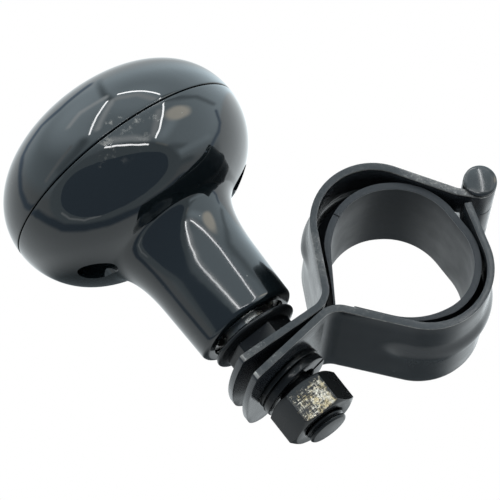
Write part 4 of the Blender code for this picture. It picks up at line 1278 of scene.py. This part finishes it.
def build_world():
    """White to the camera. Glossy rays see the studio: sheet, tent walls and the camera's opening."""
    world = bpy.data.worlds.new("studio")
    bpy.context.scene.world = world
    world.use_nodes = True
    world.node_tree.nodes.clear()
    net = Studio(world.node_tree)
    colour = net.colour(net.value("ShaderNodeTexCoord", output="Generated"))
    seen, gloss, soft = [net.value("ShaderNodeBackground", {"Color": shown, "Strength": level})
                         for shown, level in ((WHITE, 1.0), (colour, 1.0), (WHITE, SOFT_LEVEL))]
    rays = net.node("ShaderNodeLightPath").outputs
    camera, glossy, through = [Value(net, rays[f"Is {kind} Ray"]) for kind in ("Camera", "Glossy", "Transmission")]
    lit = net.value("ShaderNodeMixShader", {0: glossy, 1: soft, 2: gloss})
    both = net.value("ShaderNodeMixShader", {0: camera.most(through), 1: lit, 2: seen})
    net.node("ShaderNodeOutputWorld", {"Surface": both})


def build_floor():
    """Pale floor below the part, clear from underneath and to reflections, which see the white sheet."""
    bm = bmesh.new()
    bmesh.ops.create_grid(bm, x_segments=1, y_segments=1, size=FLOOR_HALF)
    floor = drawn("floor", bm, False)
    floor.data.transform(Matrix.Translation((0, 0, FLOOR_Z)))
    look = Look("pale floor")
    pale = look.value("ShaderNodeBsdfPrincipled", {"Base Color": (0.86, 0.86, 0.86, 1), "Roughness": 0.8})
    under = look.value("ShaderNodeNewGeometry", output="Backfacing")
    glossy = look.value("ShaderNodeLightPath", output="Is Glossy Ray")
    clear = look.value("ShaderNodeBsdfTransparent")
    mixed = look.value("ShaderNodeMixShader", {0: under.most(glossy), 1: pale, 2: clear})
    floor.data.materials.append(look.end(mixed))


def build_opening():
    """The dark card, which only reflections see."""
    right, up, back = camera_axes()
    facing = back * math.cos(OPENING_TILT) + up * math.sin(OPENING_TILT)
    rise = facing.cross(right)
    middle = SPINDLE + Vector((0, 0, SEAM_Z)) + facing * OPENING_AWAY
    bm = bmesh.new()
    ring = []
    for k in range(ROUND_SEGMENTS):
        angle = 2 * math.pi * k / ROUND_SEGMENTS
        steps = []
        for part, radius, offset in zip((math.cos(angle), math.sin(angle)), OPENING_RADII, OPENING_CENTRE):
            steps.append(offset + radius * math.copysign(abs(part) ** (2 / OPENING_SQUARENESS), part))
        ring.append(bm.verts.new(middle + right * steps[0] + rise * steps[1]))
    bm.faces.new(ring)
    card = drawn("camera_opening", bm, False)
    look = Look("dark opening")
    look.material.cycles.emission_sampling = "NONE"
    colour = (*(OPENING_LEVEL * part for part in TINTS["shade"]), 1)
    card.data.materials.append(look.end(look.value("ShaderNodeEmission", {"Color": colour, "Strength": 1.0})))
    for ray in ("camera", "diffuse", "transmission", "shadow"):
        setattr(card, f"visible_{ray}", False)


def lamp(name, at, target, size, power):
    data = bpy.data.lights.new(name, "AREA")
    data.shape = "RECTANGLE"
    data.size, data.size_y = size
    data.energy = power
    made = linked(name, data)
    made.location = at
    made.rotation_euler = (Vector(target) - Vector(at)).to_track_quat("-Z", "Y").to_euler()
    made.visible_camera = False
    return made


def lamp_bar(number, *places):
    """A thin bright lamp between two places given from the middle of the knob in the camera's directions."""
    centre = SPINDLE + Vector((0, 0, SEAM_Z))
    start, end = [centre + sum((axis * step * MM for axis, step in zip(camera_axes(), place)), Vector())
                  for place in places]
    run = end - start
    power = BAR_LEVEL * math.pi * run.length * BAR_WIDTH
    middle = (start + end) / 2
    made = lamp(f"lamp bar {number}", middle, centre, (run.length, BAR_WIDTH), power)
    back = (middle - centre).normalized()
    along = (run - back * run.dot(back)).normalized()
    turn = Matrix((along, back.cross(along), back)).transposed()
    made.matrix_world = Matrix.Translation(middle) @ turn.to_4x4()


def build_lights():
    for at, size, power in SOFT_LIGHTS:
        lamp("soft light", at, SOFT_LIGHTS_AT, (size, size), power).visible_glossy = False
    for number, ends in enumerate(BARS, 1):
        lamp_bar(number, *ends)


def build_camera():
    data = bpy.data.cameras.new("camera")
    data.lens = CAMERA_LENS
    data.sensor_width = 36
    data.clip_start = 0.05
    data.clip_end = 20
    camera = linked("camera", data)
    camera.matrix_world = Matrix.Translation(CAMERA_AT) @ Matrix(camera_axes()).transposed().to_4x4()
    bpy.context.scene.camera = camera


def finish_cad_nodes():
    """Give the bearings and spacers, which show through the knob's neck, their real finishes, except that the cage
    brass is darkened to near black as painted shade.
    """
    for name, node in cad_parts.items():
        look = BALL_STEEL if "ball" in name else BRASS if "cage" in name else STEEL
        for slot in node.material_slots:
            slot.material = look


# Each function is named like the CAD node that its piece stands for.
PIECES = (
    (knob_cap, "knob", "knob_plastic"), (knob_body, "knob", "knob_plastic"),
    (spindle_bolt, "clamp", "black_steel"), (flange_nut, "clamp", "black_steel"),
    (upper_strap, "clamp", "black_steel"), (lower_strap, "lower_jaw", "black_steel"),
    (rim_liner, "clamp", "liner_rubber"), (hinge_pin, "clamp", "black_steel"),
    (plain_washer, "washers", "black_steel"), (spring_washer, "washers", "black_steel"),
    (clamp_nut, "nut", "worn_steel"),
)


def build():
    build_camera()
    build_world()
    build_floor()
    build_opening()
    build_lights()
    finish_cad_nodes()
    for make, body, slot in PIECES[:2]:
        stand_for(make(), body, slot, make.__name__)
    for number, place in screw_places():
        stand_for(cap_screw(number, place), "knob", "bright_steel", f"cap_screw_{number}")
    for make, body, slot in PIECES[2:]:
        stand_for(make(), body, slot, make.__name__)


build()
bpy.context.scene.view_settings.view_transform = "Standard"
